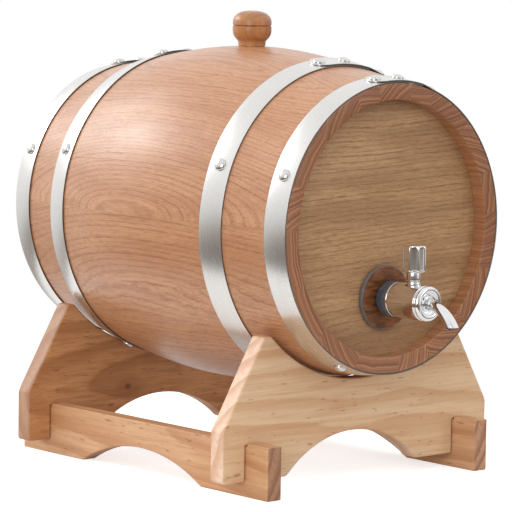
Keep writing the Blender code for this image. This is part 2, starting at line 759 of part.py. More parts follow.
def rail_outline():
    """(depth, z) outline of a rail: arched below, with a shallow slot above for each cradle."""
    middle = (RAIL_FRONT_DEPTH + RAIL_REAR_DEPTH) / 2
    centre_z = RAIL_ARCH_TOP_Z - RAIL_ARCH_RADIUS
    spring = math.asin(-centre_z / RAIL_ARCH_RADIUS)
    floor = RAIL_HEIGHT - RAIL_SLOT_DEPTH

    def slot(depth):
        near, far = depth - GAP, depth + CRADLE_THICKNESS + GAP
        return [(far, RAIL_HEIGHT), (far, floor), (near, floor), (near, RAIL_HEIGHT)]

    arch = arc((middle, centre_z), RAIL_ARCH_RADIUS, math.pi - spring, spring, 14)
    bottom = [(RAIL_FRONT_DEPTH, 0.0), *arch, (RAIL_REAR_DEPTH, 0.0)]
    top = [(RAIL_REAR_DEPTH, RAIL_HEIGHT), *slot(REAR_CRADLE_DEPTH)]
    top += [*slot(FRONT_CRADLE_DEPTH), (RAIL_FRONT_DEPTH, RAIL_HEIGHT)]
    return bottom + top


def make_rail(name, side, materials):
    builder = bmesh.new()
    ends = (side * (RAIL_OUTER_X - RAIL_THICKNESS), side * RAIL_OUTER_X)
    add_extrusion(builder, rail_outline(), lambda depth, z, end: (ends[end], at_depth(depth), z))
    return add_object(name, builder, materials["pine"])


# ---------------------------------------------------------------- assembly
def clear_scene():
    for thing in list(bpy.data.objects):
        bpy.data.objects.remove(thing, do_unlink=True)


def build():
    clear_scene()
    materials = make_materials()
    staves = make_staves(materials)
    front_planks = make_head("front", materials)
    make_head("rear", materials)
    make_hoops(staves, materials)
    make_bung(staves, materials)
    make_tap_body(materials)
    make_tap_seals(front_planks, materials)
    make_tap_nose(materials)
    make_spout(materials)
    make_key(materials)
    make_cradle("front_cradle", FRONT_CRADLE_DEPTH, FRONT_ARCH, materials)
    make_cradle("rear_cradle", REAR_CRADLE_DEPTH, REAR_ARCH, materials)
    make_rail("left_rail", -1, materials)
    make_rail("right_rail", 1, materials)


build()
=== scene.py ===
"""Looks of the small oak wine barrel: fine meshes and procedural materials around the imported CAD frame."""
import math
import random

import bmesh
import bpy
from mathutils import Matrix, Vector


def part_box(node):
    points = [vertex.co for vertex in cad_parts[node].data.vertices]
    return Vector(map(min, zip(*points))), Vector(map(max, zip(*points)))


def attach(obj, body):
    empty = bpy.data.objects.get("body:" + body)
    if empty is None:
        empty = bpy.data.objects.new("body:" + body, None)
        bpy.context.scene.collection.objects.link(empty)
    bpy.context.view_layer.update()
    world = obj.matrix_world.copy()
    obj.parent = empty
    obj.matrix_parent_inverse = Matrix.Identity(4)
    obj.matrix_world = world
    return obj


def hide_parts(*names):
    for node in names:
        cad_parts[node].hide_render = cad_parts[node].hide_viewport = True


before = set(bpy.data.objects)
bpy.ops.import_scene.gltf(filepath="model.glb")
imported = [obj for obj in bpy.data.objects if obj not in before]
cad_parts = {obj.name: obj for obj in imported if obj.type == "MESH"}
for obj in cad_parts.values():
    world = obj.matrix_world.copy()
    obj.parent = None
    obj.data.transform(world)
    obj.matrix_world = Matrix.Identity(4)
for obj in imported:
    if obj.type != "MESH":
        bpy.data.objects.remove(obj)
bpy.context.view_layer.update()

# -------- places, from the frame
GAP = 0.0003                        # clearance between touching solids in the CAD model
RING_LOW, RING_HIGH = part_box("front_head_hoop")
AXIS_Z = RING_LOW.z + RING_HIGH.x   # the hoop is as wide as it is high, but for its lap
FRONT_Y = RING_LOW.y
BARREL_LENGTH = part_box("rear_head_hoop")[1].y - FRONT_Y
HOOP_WIDTH = RING_HIGH.y - FRONT_Y
HOOP_NEAR = {
    hoop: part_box(hoop)[0].y - FRONT_Y
    for hoop in ("front_head_hoop", "front_quarter_hoop", "rear_quarter_hoop", "rear_head_hoop")
}
HEAD_LOW, HEAD_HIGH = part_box("front_head_plank_2")
HEAD_DEPTH = HEAD_LOW.y - FRONT_Y
HEAD_THICKNESS = HEAD_HIGH.y - FRONT_Y - HEAD_DEPTH
HEAD_RIM = HEAD_HIGH.x

# -------- driving dimensions, metres
END_RADIUS = 0.115
BILGE_RADIUS = 0.1377
PROFILE_FLATTENING = 0.65
STAVE_THICKNESS = 0.013
CHIME_INNER_RADIUS = 0.102
CROZE_WIDTH = 0.0056
CROZE_RADIUS = 0.1055
TAP_HOLE_RADIUS = 0.0112
CELL = math.radians(6)
FACET = math.radians(1.5)           # between the steps of a stave or a hoop
STAVE_CELLS = (3, 2, 4, 4, 3, 4, 4, 4, 4, 3, 4, 4, 4, 3, 4, 4, 2)
FIRST_JOINT = math.radians(82)
STAVE_JOINT = 0.00002               # half the width of the fine line between two staves
STAVE_ARRIS = 0.00010
FIGURED_STAVES = (3, 4)             # counted from the bung stave, which is 0
FIGURE_ANGLE = math.radians(178)
KNOT_OVAL = (1.0, 0.75, 0.0)        # a knot is a third longer along the board than across
KNOT = (-0.0085, -0.0287, 0.0)      # its place on the rear cradle board, in that squeezed measure

HOOP_THICKNESS = 0.001
LAP_START = math.radians(76)
LAP_END = math.radians(100)
NAIL_ANGLES = (67, 157, 247, 337)
RIVET_ANGLES = (85, 97)
NAIL_HEAD_RADIUS = 0.005
NAIL_HEAD_HEIGHT = 0.003
NAIL_SHANK_RADIUS = 0.0012
NAIL_LENGTH = 0.008

# x of the middle, radius and top height of the arch sawn into each cradle board
ARCHES = {"front_cradle": (-0.0068, 0.0980, 0.0420), "rear_cradle": (-0.0007, 0.1070, 0.0408)}

ACROSS, ALONG, UP = Vector((1.0, 0.0, 0.0)), Vector((0.0, 1.0, 0.0)), Vector((0.0, 0.0, 1.0))

random.seed(12)


# -------- mesh helpers
def at_depth(depth):
    return FRONT_Y + depth


def middle_of(node):
    low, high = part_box(node)
    return tuple((near + far) / 2 for near, far in zip(low, high))


def add_object(name, data):
    thing = bpy.data.objects.new(name, data)
    bpy.context.scene.collection.objects.link(thing)
    return thing


def to_mesh(builder, name):
    mesh = bpy.data.meshes.new(name)
    builder.to_mesh(mesh)
    builder.free()
    return mesh


def add_piece(name, builder, body, node, finish, smooth_angle=32):
    """Turns a bmesh in row coordinates into a piece that rides on a body and stands for a CAD node.

    A rivet has no node of its own. finish is the record's slot, which is not used, and the material.
    """
    merge_distance = 1e-6
    bmesh.ops.remove_doubles(builder, verts=builder.verts, dist=merge_distance)
    bmesh.ops.recalc_face_normals(builder, faces=builder.faces)
    mesh = to_mesh(builder, name)
    mesh.shade_smooth()
    mesh.set_sharp_from_angle(angle=math.radians(smooth_angle))
    slot, material = finish
    mesh.materials.append(material)
    piece = add_object(name, mesh)
    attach(piece, body)
    if node:
        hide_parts(node)
    return piece


def apply_modifiers(piece):
    """Replaces a piece's mesh by its evaluated one, so nothing is left to evaluate."""
    graph = bpy.context.evaluated_depsgraph_get()
    mesh = bpy.data.meshes.new_from_object(piece.evaluated_get(graph))
    piece.modifiers.clear()
    piece.data = mesh


def add_loft(builder, rings, closed=False):
    """Joins equal rings of points into a skin; an open loft gets a flat cap at each end."""
    loops = [[builder.verts.new(point) for point in ring] for ring in rings]
    pairs = list(zip(loops, loops[1:] + loops[:1])) if closed else list(zip(loops, loops[1:]))
    for near, far in pairs:
        for i in range(len(near)):
            j = (i + 1) % len(near)
            builder.faces.new((near[i], near[j], far[j], far[i]))
    if not closed:
        builder.faces.new(loops[0][::-1])
        builder.faces.new(loops[-1])


def add_turned(builder, profile, steps, place, closed=False):
    """Turns (radius, height) points about an axis frame. An open profile begins and ends at radius 0."""
    loops = []
    for radius, height in profile:
        if radius == 0.0:
            loops.append([builder.verts.new(place @ Vector((0.0, 0.0, height)))])
            continue
        turn = [math.tau * k / steps for k in range(steps)]
        ring = [Vector((radius * math.cos(a), radius * math.sin(a), height)) for a in turn]
        loops.append([builder.verts.new(place @ point) for point in ring])
    pairs = zip(loops, loops[1:] + loops[:1]) if closed else zip(loops, loops[1:])
    for near, far in pairs:
        for i in range(steps):
            j = (i + 1) % steps
            corners = [near[i % len(near)], near[j % len(near)], far[j % len(far)], far[i % len(far)]]
            builder.faces.new(list(dict.fromkeys(corners)))


def rounded(points, size, steps=4, closed=False, keep=()):
    """Eases the corners of an outline: each becomes a short curve that starts size before the corner."""
    result = []
    count = len(points)
    for i, corner in enumerate(points):
        if i in keep or (not closed and i in (0, count - 1)):
            result.append(tuple(corner))
            continue
        here = Vector(corner)
        before, after = Vector(points[i - 1]), Vector(points[(i + 1) % count])
        reach_in = min(size, (before - here).length * 0.45)
        reach_out = min(size, (after - here).length * 0.45)
        start = here + (before - here).normalized() * reach_in
        end = here + (after - here).normalized() * reach_out
        for k in range(steps + 1):
            t = k / steps
            result.append(tuple(start * (1 - t) ** 2 + here * (2 * t * (1 - t)) + end * t**2))
    return result


def arc(centre, radius, start, end, steps):
    turn = [start + (end - start) * k / steps for k in range(steps + 1)]
    return [(centre[0] + radius * math.cos(a), centre[1] + radius * math.sin(a)) for a in turn]


def along_barrel(depth, z=AXIS_Z):
    """Axis frame whose height runs backwards along the barrel from the given depth."""
    turn = Matrix(((1, 0, 0), (0, 0, 1), (0, -1, 0))).to_4x4()
    return Matrix.Translation((0.0, at_depth(depth), z)) @ turn


def turned_piece(name, profile, place, body, node, finish, closed=False, steps=72, angle=40):
    builder = bmesh.new()
    add_turned(builder, profile, steps, place, closed)
    return add_piece(name, builder, body, node, finish, angle)


def set_grain(piece, place, fibre, tint, painted_shade_end=lambda point: 0.0):
    """Writes what the wood materials read: where each point sat in its board, and how much end grain shows.

    place(point) gives (across, along, out) in metres from the tree's heart. fibre is the direction of
    the fibres. painted_shade_end(point) paints shade: it gives faces in a recess some of the darker end-grain
    colour, whichever way they look.
    """
    mesh = piece.data
    grain = mesh.attributes.new("grain", "FLOAT_VECTOR", "POINT")
    grain.data.foreach_set("vector", [value for vert in mesh.vertices for value in place(vert.co)])
    shade = mesh.attributes.new("tint", "FLOAT", "POINT")
    shade.data.foreach_set("value", [tint] * len(mesh.vertices))
    ends = mesh.attributes.new("end", "FLOAT", "FACE")
    # faces in a recess take painted shade as a share of end-grain colour
    shares = [max(abs(face.normal.dot(fibre)), painted_shade_end(face.center)) for face in mesh.polygons]
    ends.data.foreach_set("value", shares)


# -------- material helpers
class Graph:
    """A node tree. Each method adds a node and returns its output."""

    def __init__(self, tree):
        self.nodes, self.links = tree.nodes, tree.links

    def feed(self, socket, value):
        if isinstance(value, bpy.types.NodeSocket):
            self.links.new(value, socket)
        elif value is not None:
            socket.default_value = value

    def attribute(self, name, output):
        node = self.nodes.new("ShaderNodeAttribute")
        node.attribute_name = name
        return node.outputs[output]

    def place(self):
        return self.nodes.new("ShaderNodeTexCoord").outputs["Object"]

    def math(self, operation, a, b=None, c=None, clamp=False):
        node = self.nodes.new("ShaderNodeMath")
        node.operation = operation
        node.use_clamp = clamp
        for socket, value in zip(node.inputs, (a, b, c)):
            self.feed(socket, value)
        return node.outputs[0]

    def times(self, a, b, plus=None, clamp=False):
        """a times b, plus a third value if there is one."""
        return self.math("MULTIPLY" if plus is None else "MULTIPLY_ADD", a, b, plus, clamp)

    def vector(self, operation, a, b=None):
        node = self.nodes.new("ShaderNodeVectorMath")
        node.operation = operation
        self.feed(node.inputs[0], a)
        self.feed(node.inputs[1], b)
        return node.outputs["Value" if operation in ("LENGTH", "DOT_PRODUCT") else "Vector"]

    def split(self, vector):
        node = self.nodes.new("ShaderNodeSeparateXYZ")
        self.feed(node.inputs[0], vector)
        return node.outputs[0], node.outputs[1], node.outputs[2]

    def join(self, x, y=0.0, z=0.0):
        node = self.nodes.new("ShaderNodeCombineXYZ")
        for socket, value in zip(node.inputs, (x, y, z)):
            self.feed(socket, value)
        return node.outputs[0]

    def noise(self, vector, scale, detail, roughness=0.5):
        """scale is one number, or three for a noise drawn out along an axis."""
        if isinstance(scale, tuple):
            vector, scale = self.vector("MULTIPLY", vector, scale), 1.0
        node = self.nodes.new("ShaderNodeTexNoise")
        settings = {"Vector": vector, "Scale": scale, "Detail": detail, "Roughness": roughness}
        for name, value in settings.items():
            self.feed(node.inputs[name], value)
        return node.outputs["Fac"]

    def span(self, value, low, high, to_low=0.0, to_high=1.0, smooth=False):
        """Maps low..high to to_low..to_high, held at both ends."""
        node = self.nodes.new("ShaderNodeMapRange")
        node.interpolation_type = "SMOOTHSTEP" if smooth else "LINEAR"
        for socket, number in zip(node.inputs, (value, low, high, to_low, to_high)):
            self.feed(socket, number)
        return node.outputs[0]

    def mix(self, share, a, b):
        node = self.nodes.new("ShaderNodeMix")
        node.data_type = "RGBA"
        self.feed(node.inputs["Factor"], share)
        colours = [socket for socket in node.inputs if socket.type == "RGBA"]
        for socket, value in zip(colours, (a, b)):
            self.feed(socket, (*value, 1.0) if isinstance(value, tuple) else value)
        return [socket for socket in node.outputs if socket.type == "RGBA"][0]

    def bump(self, height, distance, strength):
        node = self.nodes.new("ShaderNodeBump")
        for name, value in (("Height", height), ("Distance", distance), ("Strength", strength)):
            self.feed(node.inputs[name], value)
        return node.outputs["Normal"]


class Material(Graph):
    """A material's nodes, with its shader."""

    def __init__(self, name, roughness=0.5, metallic=0.0):
        self.material = bpy.data.materials.new(name)
        self.material.use_nodes = True
        super().__init__(self.material.node_tree)
        self.shader = self.nodes["Principled BSDF"]
        self.set("Roughness", roughness)
        self.set("Metallic", metallic)

    def set(self, name, value):
        self.feed(self.shader.inputs[name], value)


def palette(*colours):
    """Screen colours, 0 to 255, as linear light."""
    def linear(level):
        share = level / 255
        return share / 12.92 if share <= 0.04045 else ((share + 0.055) / 1.055) ** 2.4

    return [tuple(linear(level) for level in colour) for colour in colours]


def darker(colour, share):
    return tuple(level * share for level in colour)


# -------- wood
def growth(g, grain, ring, sway, ripple):
    """Number of growth rings out from the heart, for a board cut from a tree whose heart is at the origin."""
    slow = g.noise(grain, (14.0, 7.0, 14.0), 2.0)
    fine = g.noise(grain, (170.0, 70.0, 170.0), 5.0, 0.68)
    across, _, out = g.split(grain)
    bend = g.times(slow, sway, -0.5 * sway)
    bend = g.times(fine, ripple, bend)
    radius = g.vector("LENGTH", g.join(g.math("ADD", across, bend), 0.0, g.math("ADD", out, bend)))
    uneven = g.noise(g.join(g.times(radius, 0.4 / ring)), 1.0, 2.0)
    return g.times(uneven, 1.8, g.math("DIVIDE", radius, ring))


def end_stripes(g, grain, tint, ring):
    """Soft uneven stripes over end grain, nearly straight, leaning a way of its own on each board."""
    across, _, out = g.split(grain)
    lean = g.times(tint, 2.3, 0.4)
    level = g.times(across, g.math("COSINE", lean))
    level = g.times(out, g.math("SINE", lean), level)
    wander = g.noise(grain, (60.0, 20.0, 60.0), 2.0)
    level = g.times(wander, 0.004, level)
    stripes = g.noise(g.join(g.times(level, 1.3 / ring)), 1.0, 3.0, 0.6)
    return g.span(stripes, 0.42, 0.60, smooth=True)


def start_wood(name):
    """A wood's node tree, and its grain, tint and share of end grain, as set_grain wrote them."""
    g = Material(name)
    end = g.span(g.attribute("end", "Fac"), 0.35, 0.85)
    return g, g.attribute("grain", "Vector"), g.attribute("tint", "Fac"), end


def oak(
    name, colours, ring=0.0033, lines=0.75, roughness=0.4, coat=0.6, ripple=0.0030, bands=0.25, foot=0.0,
):
    """Ring-porous oak: every growth ring begins with a broken line of dark pores, between faint hairs.

    ring is how thick a growth ring is and ripple how far it wavers, in metres. lines, bands and coat are
    strengths. foot is painted shade: it darkens the part of a head below its tap.
    """
    g, grain, tint, end = start_wood(name)
    light, dark, line_colour, end_light, end_dark = colours
    rings = growth(g, grain, ring, 0.008, ripple)
    phase = g.math("FRACT", rings)
    between = g.math("FRACT", g.times(rings, 2.63))
    start = g.times(g.span(phase, 0.52, 0.86, smooth=True), g.span(phase, 1.0, 0.90))
    faint = g.times(g.span(between, 0.45, 0.85, smooth=True), g.span(between, 1.0, 0.88))
    per_ring = g.noise(g.join(g.times(rings, 0.7)), 1.0, 1.0)
    start = g.times(start, g.span(per_ring, 0.36, 0.62, 0.30, 1.0))
    start = g.times(faint, 0.45, start)
    dashes = g.noise(grain, (500.0, 60.0, 500.0), 3.0, 0.6)
    start = g.times(start, g.span(dashes, 0.35, 0.62, 0.35, 1.0), clamp=True)
    pores = g.span(g.noise(grain, (1000.0, 110.0, 1000.0), 2.0), 0.54, 0.72)
    hairs = g.noise(grain, (1500.0, 35.0, 1500.0), 2.0, 0.6)
    rays = g.span(g.noise(grain, (240.0, 800.0, 240.0), 1.0), 0.58, 0.78)
    drift = g.noise(grain, (22.0, 6.0, 22.0), 3.0)
    broad = g.noise(grain, (75.0, 5.0, 75.0), 3.0, 0.55)

    share = g.times(tint, 0.35, g.span(drift, 0.32, 0.68, 0.0, 0.65), clamp=True)
    colour = g.mix(share, light, dark)
    colour = g.mix(g.span(broad, 0.42, 0.66, 0.0, bands, smooth=True), colour, line_colour)
    # painted shade: the colour darkens towards the bottom of a head, below the tap
    colour = g.mix(g.span(g.split(grain)[0], 0.090, 0.045, 0.0, foot, smooth=True), colour, line_colour)
    colour = g.mix(g.times(start, lines), colour, line_colour)
    colour = g.mix(g.times(pores, 0.45 * lines), colour, line_colour)
    colour = g.mix(g.span(hairs, 0.45, 0.75, 0.0, 0.60 * lines), colour, line_colour)
    colour = g.mix(g.times(rays, 0.22), colour, light)
    sawn = g.mix(end_stripes(g, grain, tint, ring), end_dark, end_light)
    speckle = g.noise(grain, (900.0, 300.0, 900.0), 2.0)
    sawn = g.mix(g.span(speckle, 0.50, 0.72, 0.0, 0.45), sawn, end_dark)
    sawn = g.mix(g.times(tint, 0.30), sawn, darker(end_dark, 0.72))
    g.set("Base Color", g.mix(end, colour, sawn))
    worn = g.span(drift, 0.3, 0.7, roughness - 0.04, roughness + 0.05)
    g.set("Roughness", g.times(pores, 0.15, worn))
    g.set("Coat Weight", coat)
    g.set("Coat Roughness", 0.28)
    height = g.times(pores, -1.0, g.times(hairs, 0.3))
    g.set("Normal", g.bump(g.times(start, -0.6, height), 0.00015, 0.35))
    return g.material


def pine(name, colours, ring=0.014, knot=None):
    """Softwood: pale early wood, soft warm late-wood bands, short resin flecks and perhaps a small knot."""
    g, grain, tint, end = start_wood(name)
    light, dark, band_colour, fleck_colour, end_light, end_dark = colours
    phase = g.math("FRACT", growth(g, grain, ring, 0.014, 0.0014))
    band = g.times(g.span(phase, 0.30, 0.88, smooth=True), g.span(phase, 1.0, 0.90, smooth=True))
    drift = g.noise(grain, (24.0, 5.0, 24.0), 3.0)
    hairs = g.noise(grain, (800.0, 22.0, 800.0), 3.0, 0.6)
    threads = g.noise(grain, (260.0, 9.0, 260.0), 3.0, 0.6)
    flecks = g.span(g.noise(grain, (520.0, 80.0, 520.0), 1.0), 0.675, 0.75)
    share = g.times(tint, 0.5, g.span(drift, 0.32, 0.70, 0.0, 0.6), clamp=True)
    colour = g.mix(share, light, dark)
    colour = g.mix(g.times(band, 0.55), colour, band_colour)
    colour = g.mix(g.span(threads, 0.45, 0.70, 0.0, 0.50), colour, band_colour)
    colour = g.mix(g.span(hairs, 0.46, 0.78, 0.0, 0.35), colour, band_colour)
    colour = g.mix(g.times(flecks, 0.55), colour, fleck_colour)
    if knot:
        squeezed = g.vector("MULTIPLY", grain, KNOT_OVAL)
        from_knot = g.vector("LENGTH", g.vector("SUBTRACT", squeezed, knot))
        colour = g.mix(g.span(from_knot, 0.016, 0.004, 0.0, 0.45, smooth=True), colour, band_colour)
        colour = g.mix(g.span(from_knot, 0.0030, 0.0018, 0.0, 0.8), colour, fleck_colour)
    sawn = g.mix(g.times(band, 0.75), end_light, end_dark)
    sawn = g.mix(g.span(threads, 0.40, 0.70, 0.0, 0.45), sawn, end_dark)
    sawn = g.mix(g.times(tint, 0.5), sawn, darker(end_dark, 0.85))
    g.set("Base Color", g.mix(end, colour, sawn))
    g.set("Roughness", g.span(drift, 0.3, 0.7, 0.48, 0.60))
    height = g.times(hairs, 0.6, g.times(flecks, -1.0))
    g.set("Normal", g.bump(height, 0.0002, 0.3))
    return g.material


# -------- metal and rubber
def brushed_steel(name, colour, roughness):
    """Rolled strip, brushed round the barrel: fine scratches along its length."""
    g = Material(name, roughness, 1.0)
    x, y, z = g.split(g.place())
    unrolled = g.join(g.math("ARCTAN2", g.math("SUBTRACT", z, AXIS_Z), x), y)
    lines = g.noise(unrolled, (2.0, 1500.0, 0.0), 2.0, 0.6)
    cloud = g.noise(unrolled, (4.0, 50.0, 0.0), 3.0)
    g.set("Base Color", g.mix(g.span(cloud, 0.3, 0.7, 0.0, 0.4), colour, darker(colour, 0.90)))
    g.set("Roughness", g.span(lines, 0.25, 0.75, roughness - 0.03, roughness + 0.04))
    g.set("Normal", g.bump(lines, 0.00002, 0.07))
    return g.material


def polished(name, colour, roughness):
    """Bright metal with the faint haze and wipe marks of handling."""
    g = Material(name, roughness, 1.0)
    haze = g.noise(g.place(), 160.0, 4.0, 0.6)
    g.set("Base Color", g.mix(g.span(haze, 0.35, 0.75, 0.0, 0.35), colour, darker(colour, 0.92)))
    g.set("Roughness", g.span(haze, 0.3, 0.8, roughness, roughness + 0.05))
    g.set("Normal", g.bump(haze, 0.00002, 0.04))
    return g.material


def smoked_silicone(name, colours, inner, outer):
    """See-through grey washer over oak: a grey rim, and the wood's streaks showing through its face."""
    rim_colour, face_colour, streak_colour = colours
    g = Material(name, 0.25)
    x, _, z = g.split(g.place())
    radius = g.vector("LENGTH", g.join(x, g.math("SUBTRACT", z, middle_of("head_pad")[2])))
    streaks = g.noise(g.place(), (70.0, 0.0, 330.0), 3.0, 0.6)
    cloud = g.noise(g.place(), 70.0, 3.0)
    face = g.mix(g.span(streaks, 0.38, 0.64), face_colour, streak_colour)
    face = g.mix(g.span(cloud, 0.45, 0.65, 0.0, 0.6), face, darker(face_colour, 0.45))
    g.set("Base Color", g.mix(g.span(radius, inner, outer), face, rim_colour))
    g.set("Roughness", g.span(cloud, 0.3, 0.7, 0.18, 0.30))
    g.set("Normal", g.bump(cloud, 0.0001, 0.1))
    return g.material


def make_finishes():
    """The record's slot and the material of every finish.

    A wood's colours are light and dark wood, its lines, a pine's flecks, and two for end grain.
    """
    stave = palette((215, 161, 119), (201, 145, 102), (152, 86, 48), (188, 128, 82), (130, 75, 42))
    head = palette((208, 166, 122), (184, 142, 98), (130, 88, 52), (160, 118, 84), (130, 90, 62))
    bung = palette((206, 146, 92), (186, 124, 74), (140, 84, 48), (198, 138, 86), (160, 102, 58))
    pale = palette(
        (230, 199, 162), (217, 181, 141), (196, 142, 98), (142, 92, 56), (246, 214, 188), (212, 162, 130)
    )
    # pine of the rear cradle board: a knot and its own tone, darkened and warmed partly as painted shade for
    # the shade it sits in
    knotty = palette(
        (218, 163, 112), (202, 145, 96), (150, 92, 52), (112, 66, 38), (206, 170, 140), (170, 120, 90)
    )
    rail = palette(
        (222, 178, 138), (212, 166, 124), (180, 120, 76), (128, 80, 50), (196, 150, 116), (136, 86, 56)
    )
    smoked = palette((104, 106, 112), (140, 86, 46), (80, 46, 26))
    grey = palette((92, 98, 106), (84, 90, 98), (74, 80, 88))
    head_looks = {"ring": 0.0036, "lines": 0.74, "roughness": 0.5, "coat": 0.0, "ripple": 0.0026}
    bung_looks = {"ring": 0.0040, "lines": 0.35, "roughness": 0.3, "coat": 0.4, "ripple": 0.0010}
    return {
        "stave": ("stave_oak", oak("stave_oak", stave)),
        # foot paints shade on the lower part of each head
        "head": ("head_oak", oak("head_oak", head, bands=0.38, foot=0.40, **head_looks)),
        "bung": ("bung_wood", oak("bung_wood", bung, bands=0.3, **bung_looks)),
        "pine": ("pine", pine("pine", pale)),
        "knot_and_shade_pine": ("pine", pine("knot_and_shade_pine", knotty, knot=KNOT)),
        "rail_pine": ("pine", pine("rail_pine", rail, ring=0.010)),
        "hoop": ("hoop_steel", brushed_steel("hoop_steel", (0.80, 0.79, 0.77), 0.27)),
        # the hoops' edge faces are dark steel: painted shade for the dark line along each hoop's edge
        "hoop_side_shade": ("hoop_steel", brushed_steel("hoop_side_painted_shade", (0.20, 0.19, 0.18), 0.45)),
        "nail": ("nail_steel", polished("nail_steel", (0.76, 0.75, 0.73), 0.08)),
        "chrome": ("chrome", polished("chrome", (0.85, 0.85, 0.86), 0.03)),
        "pad": ("silicone", smoked_silicone("smoked_silicone", smoked, 0.0252, 0.0258)),
        "rubber": ("silicone", smoked_silicone("grey_silicone", grey, 0.0238, 0.0248)),
    }


# -------- staves
def stave_radius(depth):
    """Outside radius of the staves at a depth."""
    t = depth / (BARREL_LENGTH / 2) - 1
    rise = (1 - t * t) * (1 - PROFILE_FLATTENING * t * t)
    return END_RADIUS + (BILGE_RADIUS - END_RADIUS) * rise


def on_barrel(radius, angle, depth):
    return Vector((radius * math.cos(angle), at_depth(depth), AXIS_Z + radius * math.sin(angle)))


def stave_outline():
    """(radius, depth) outline of a stave: hollowed inside with a croze groove near each end."""
    outside_steps = 56
    outside = [BARREL_LENGTH * k / outside_steps for k in range(outside_steps + 1)]
    outer = [(stave_radius(depth), depth) for depth in outside]
    groove_end = HEAD_DEPTH - GAP + CROZE_WIDTH
    front = [
        (CHIME_INNER_RADIUS, 0.0),
        (CHIME_INNER_RADIUS, HEAD_DEPTH - GAP),
        (CROZE_RADIUS, HEAD_DEPTH - GAP),
        (CROZE_RADIUS, groove_end),
        (stave_radius(groove_end) - STAVE_THICKNESS, groove_end),
    ]
    rear = [(radius, BARREL_LENGTH - depth) for radius, depth in front]
    inside_steps = 14
    start, end = HEAD_DEPTH + HEAD_THICKNESS, BARREL_LENGTH - HEAD_DEPTH - HEAD_THICKNESS
    inside = [end + (start - end) * k / inside_steps for k in range(inside_steps + 1)]
    middle = [(stave_radius(depth) - STAVE_THICKNESS, depth) for depth in inside]
    outline = outer + rear + middle + front[::-1]
    eased = (0, len(outer) - 1, len(outer), len(outline) - 1)
    keep = [i for i in range(len(outline)) if i not in eased]
    return rounded(outline, 0.0008, 4, closed=True, keep=keep)


def stave_spans():
    spans, start = [], FIRST_JOINT
    for cells in STAVE_CELLS:
        spans.append((start, cells * CELL))
        start += cells * CELL
    return spans


def stave_name(index):
    return "bung_stave" if index == 0 else f"stave_{index + 1:02d}"


def make_staves(finishes):
    outline = stave_outline()
    for index, (start, width) in enumerate(stave_spans()):
        joint, arris = STAVE_JOINT / END_RADIUS, STAVE_ARRIS / END_RADIUS
        first, last = start + joint, start + width - joint
        count = round(width / FACET)
        inner_angles = [first + arris + (last - first - 2 * arris) * k / count for k in range(count + 1)]
        stations = [(first, STAVE_ARRIS)] + [(a, 0.0) for a in inner_angles] + [(last, STAVE_ARRIS)]
        builder = bmesh.new()
        rings = []
        for angle, drop in stations:
            rings.append([
                on_barrel(r - (drop if r > stave_radius(depth) - 0.002 else 0.0), angle, depth)
                for r, depth in outline
            ])
        add_loft(builder, rings)
        name = stave_name(index)
        stave = add_piece(f"{name}_oak", builder, "barrel", name, finishes["stave"])
        if index == 0:
            hole_low, hole_high = 0.0101, 0.0113
            drill(stave, upright("bung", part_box("bung")[0].z), 0.0, 0.03, hole_low, hole_high)
        grain_of_stave(stave, index, start + width / 2)


def grain_of_stave(stave, index, middle):
    """Gives a stave its place in the tree. Most are rift sawn; the two figured ones share one plank.

    side is -1 where the heart of the tree lay outwards, which draws closed ovals on a bulging stave.
    """
    shift = random.choice((-1, 1)) * random.uniform(0.022, 0.050)
    side = random.choice((-1, 1))
    heart = random.uniform(0.022, 0.045) + max(side, 0) * (BILGE_RADIUS - END_RADIUS)
    slope, offset = random.uniform(-0.05, 0.05), random.uniform(0, 9)
    swell = 1.0
    if index in FIGURED_STAVES:
        middle, shift, heart, side = FIGURE_ANGLE, 0.0, 0.0125, -1
        slope, offset, swell = 0.012, 4.0, 1.6

    def place(point):
        rise = point.z - AXIS_Z
        angle = (math.atan2(rise, point.x) - middle + math.pi) % math.tau - math.pi
        depth = point.y - FRONT_Y
        out = math.hypot(point.x, rise) - stave_radius(depth)
        bow = (stave_radius(depth) - BILGE_RADIUS) * swell
        from_heart = heart + side * (out + bow) + slope * (depth - 0.17)
        return angle * BILGE_RADIUS - shift, depth + offset, from_heart

    # painted shade: the chime's inner wall is side grain in a recess, and takes most of the darker end-grain
    # colour for its shade
    def painted_shade_end(point):
        depth = min(point.y - FRONT_Y, FRONT_Y + BARREL_LENGTH - point.y)
        inside = math.hypot(point.x, point.z - AXIS_Z) < CHIME_INNER_RADIUS + 0.0005
        return 0.64 if inside and depth < HEAD_DEPTH else 0.0

    set_grain(stave, place, ALONG, random.random(), painted_shade_end)


def upright(node, z):
    x, y, _ = middle_of(node)
    return Matrix.Translation((x, y, z))


def drill(piece, place, low, high, low_radius, high_radius=None):
    """Cuts a round hole, tapered if it has two radii, between two heights of an axis frame."""
    steps = 64
    outline = [(0.0, low), (low_radius, low), (high_radius or low_radius, high), (0.0, high)]
    builder = bmesh.new()
    add_turned(builder, outline, steps, place)
    bmesh.ops.recalc_face_normals(builder, faces=builder.faces)
    cutter = add_object("drill", to_mesh(builder, "drill"))
    modifier = piece.modifiers.new("hole", "BOOLEAN")
    modifier.object = cutter
    modifier.operation = "DIFFERENCE"
    material = piece.data.materials[0]
    apply_modifiers(piece)
    piece.data.materials.clear()
    piece.data.materials.append(material)
    bpy.data.objects.remove(cutter)


# -------- heads
def plank_ring(radius, y, bottom, top, steps=120):
    """A head board's outline at one depth: a circle cut off at its joints, in steps that stay in line."""
    ring = []
    for k in range(steps):
        angle = 2 * math.pi * (k + 0.5) / steps
        z = min(max(radius * math.sin(angle), bottom), top)
        half = math.sqrt(radius**2 - z**2)
        reach = radius * math.cos(angle)
        ring.append(Vector((min(max(reach, -half), half), y, AXIS_Z + z)))
    return ring


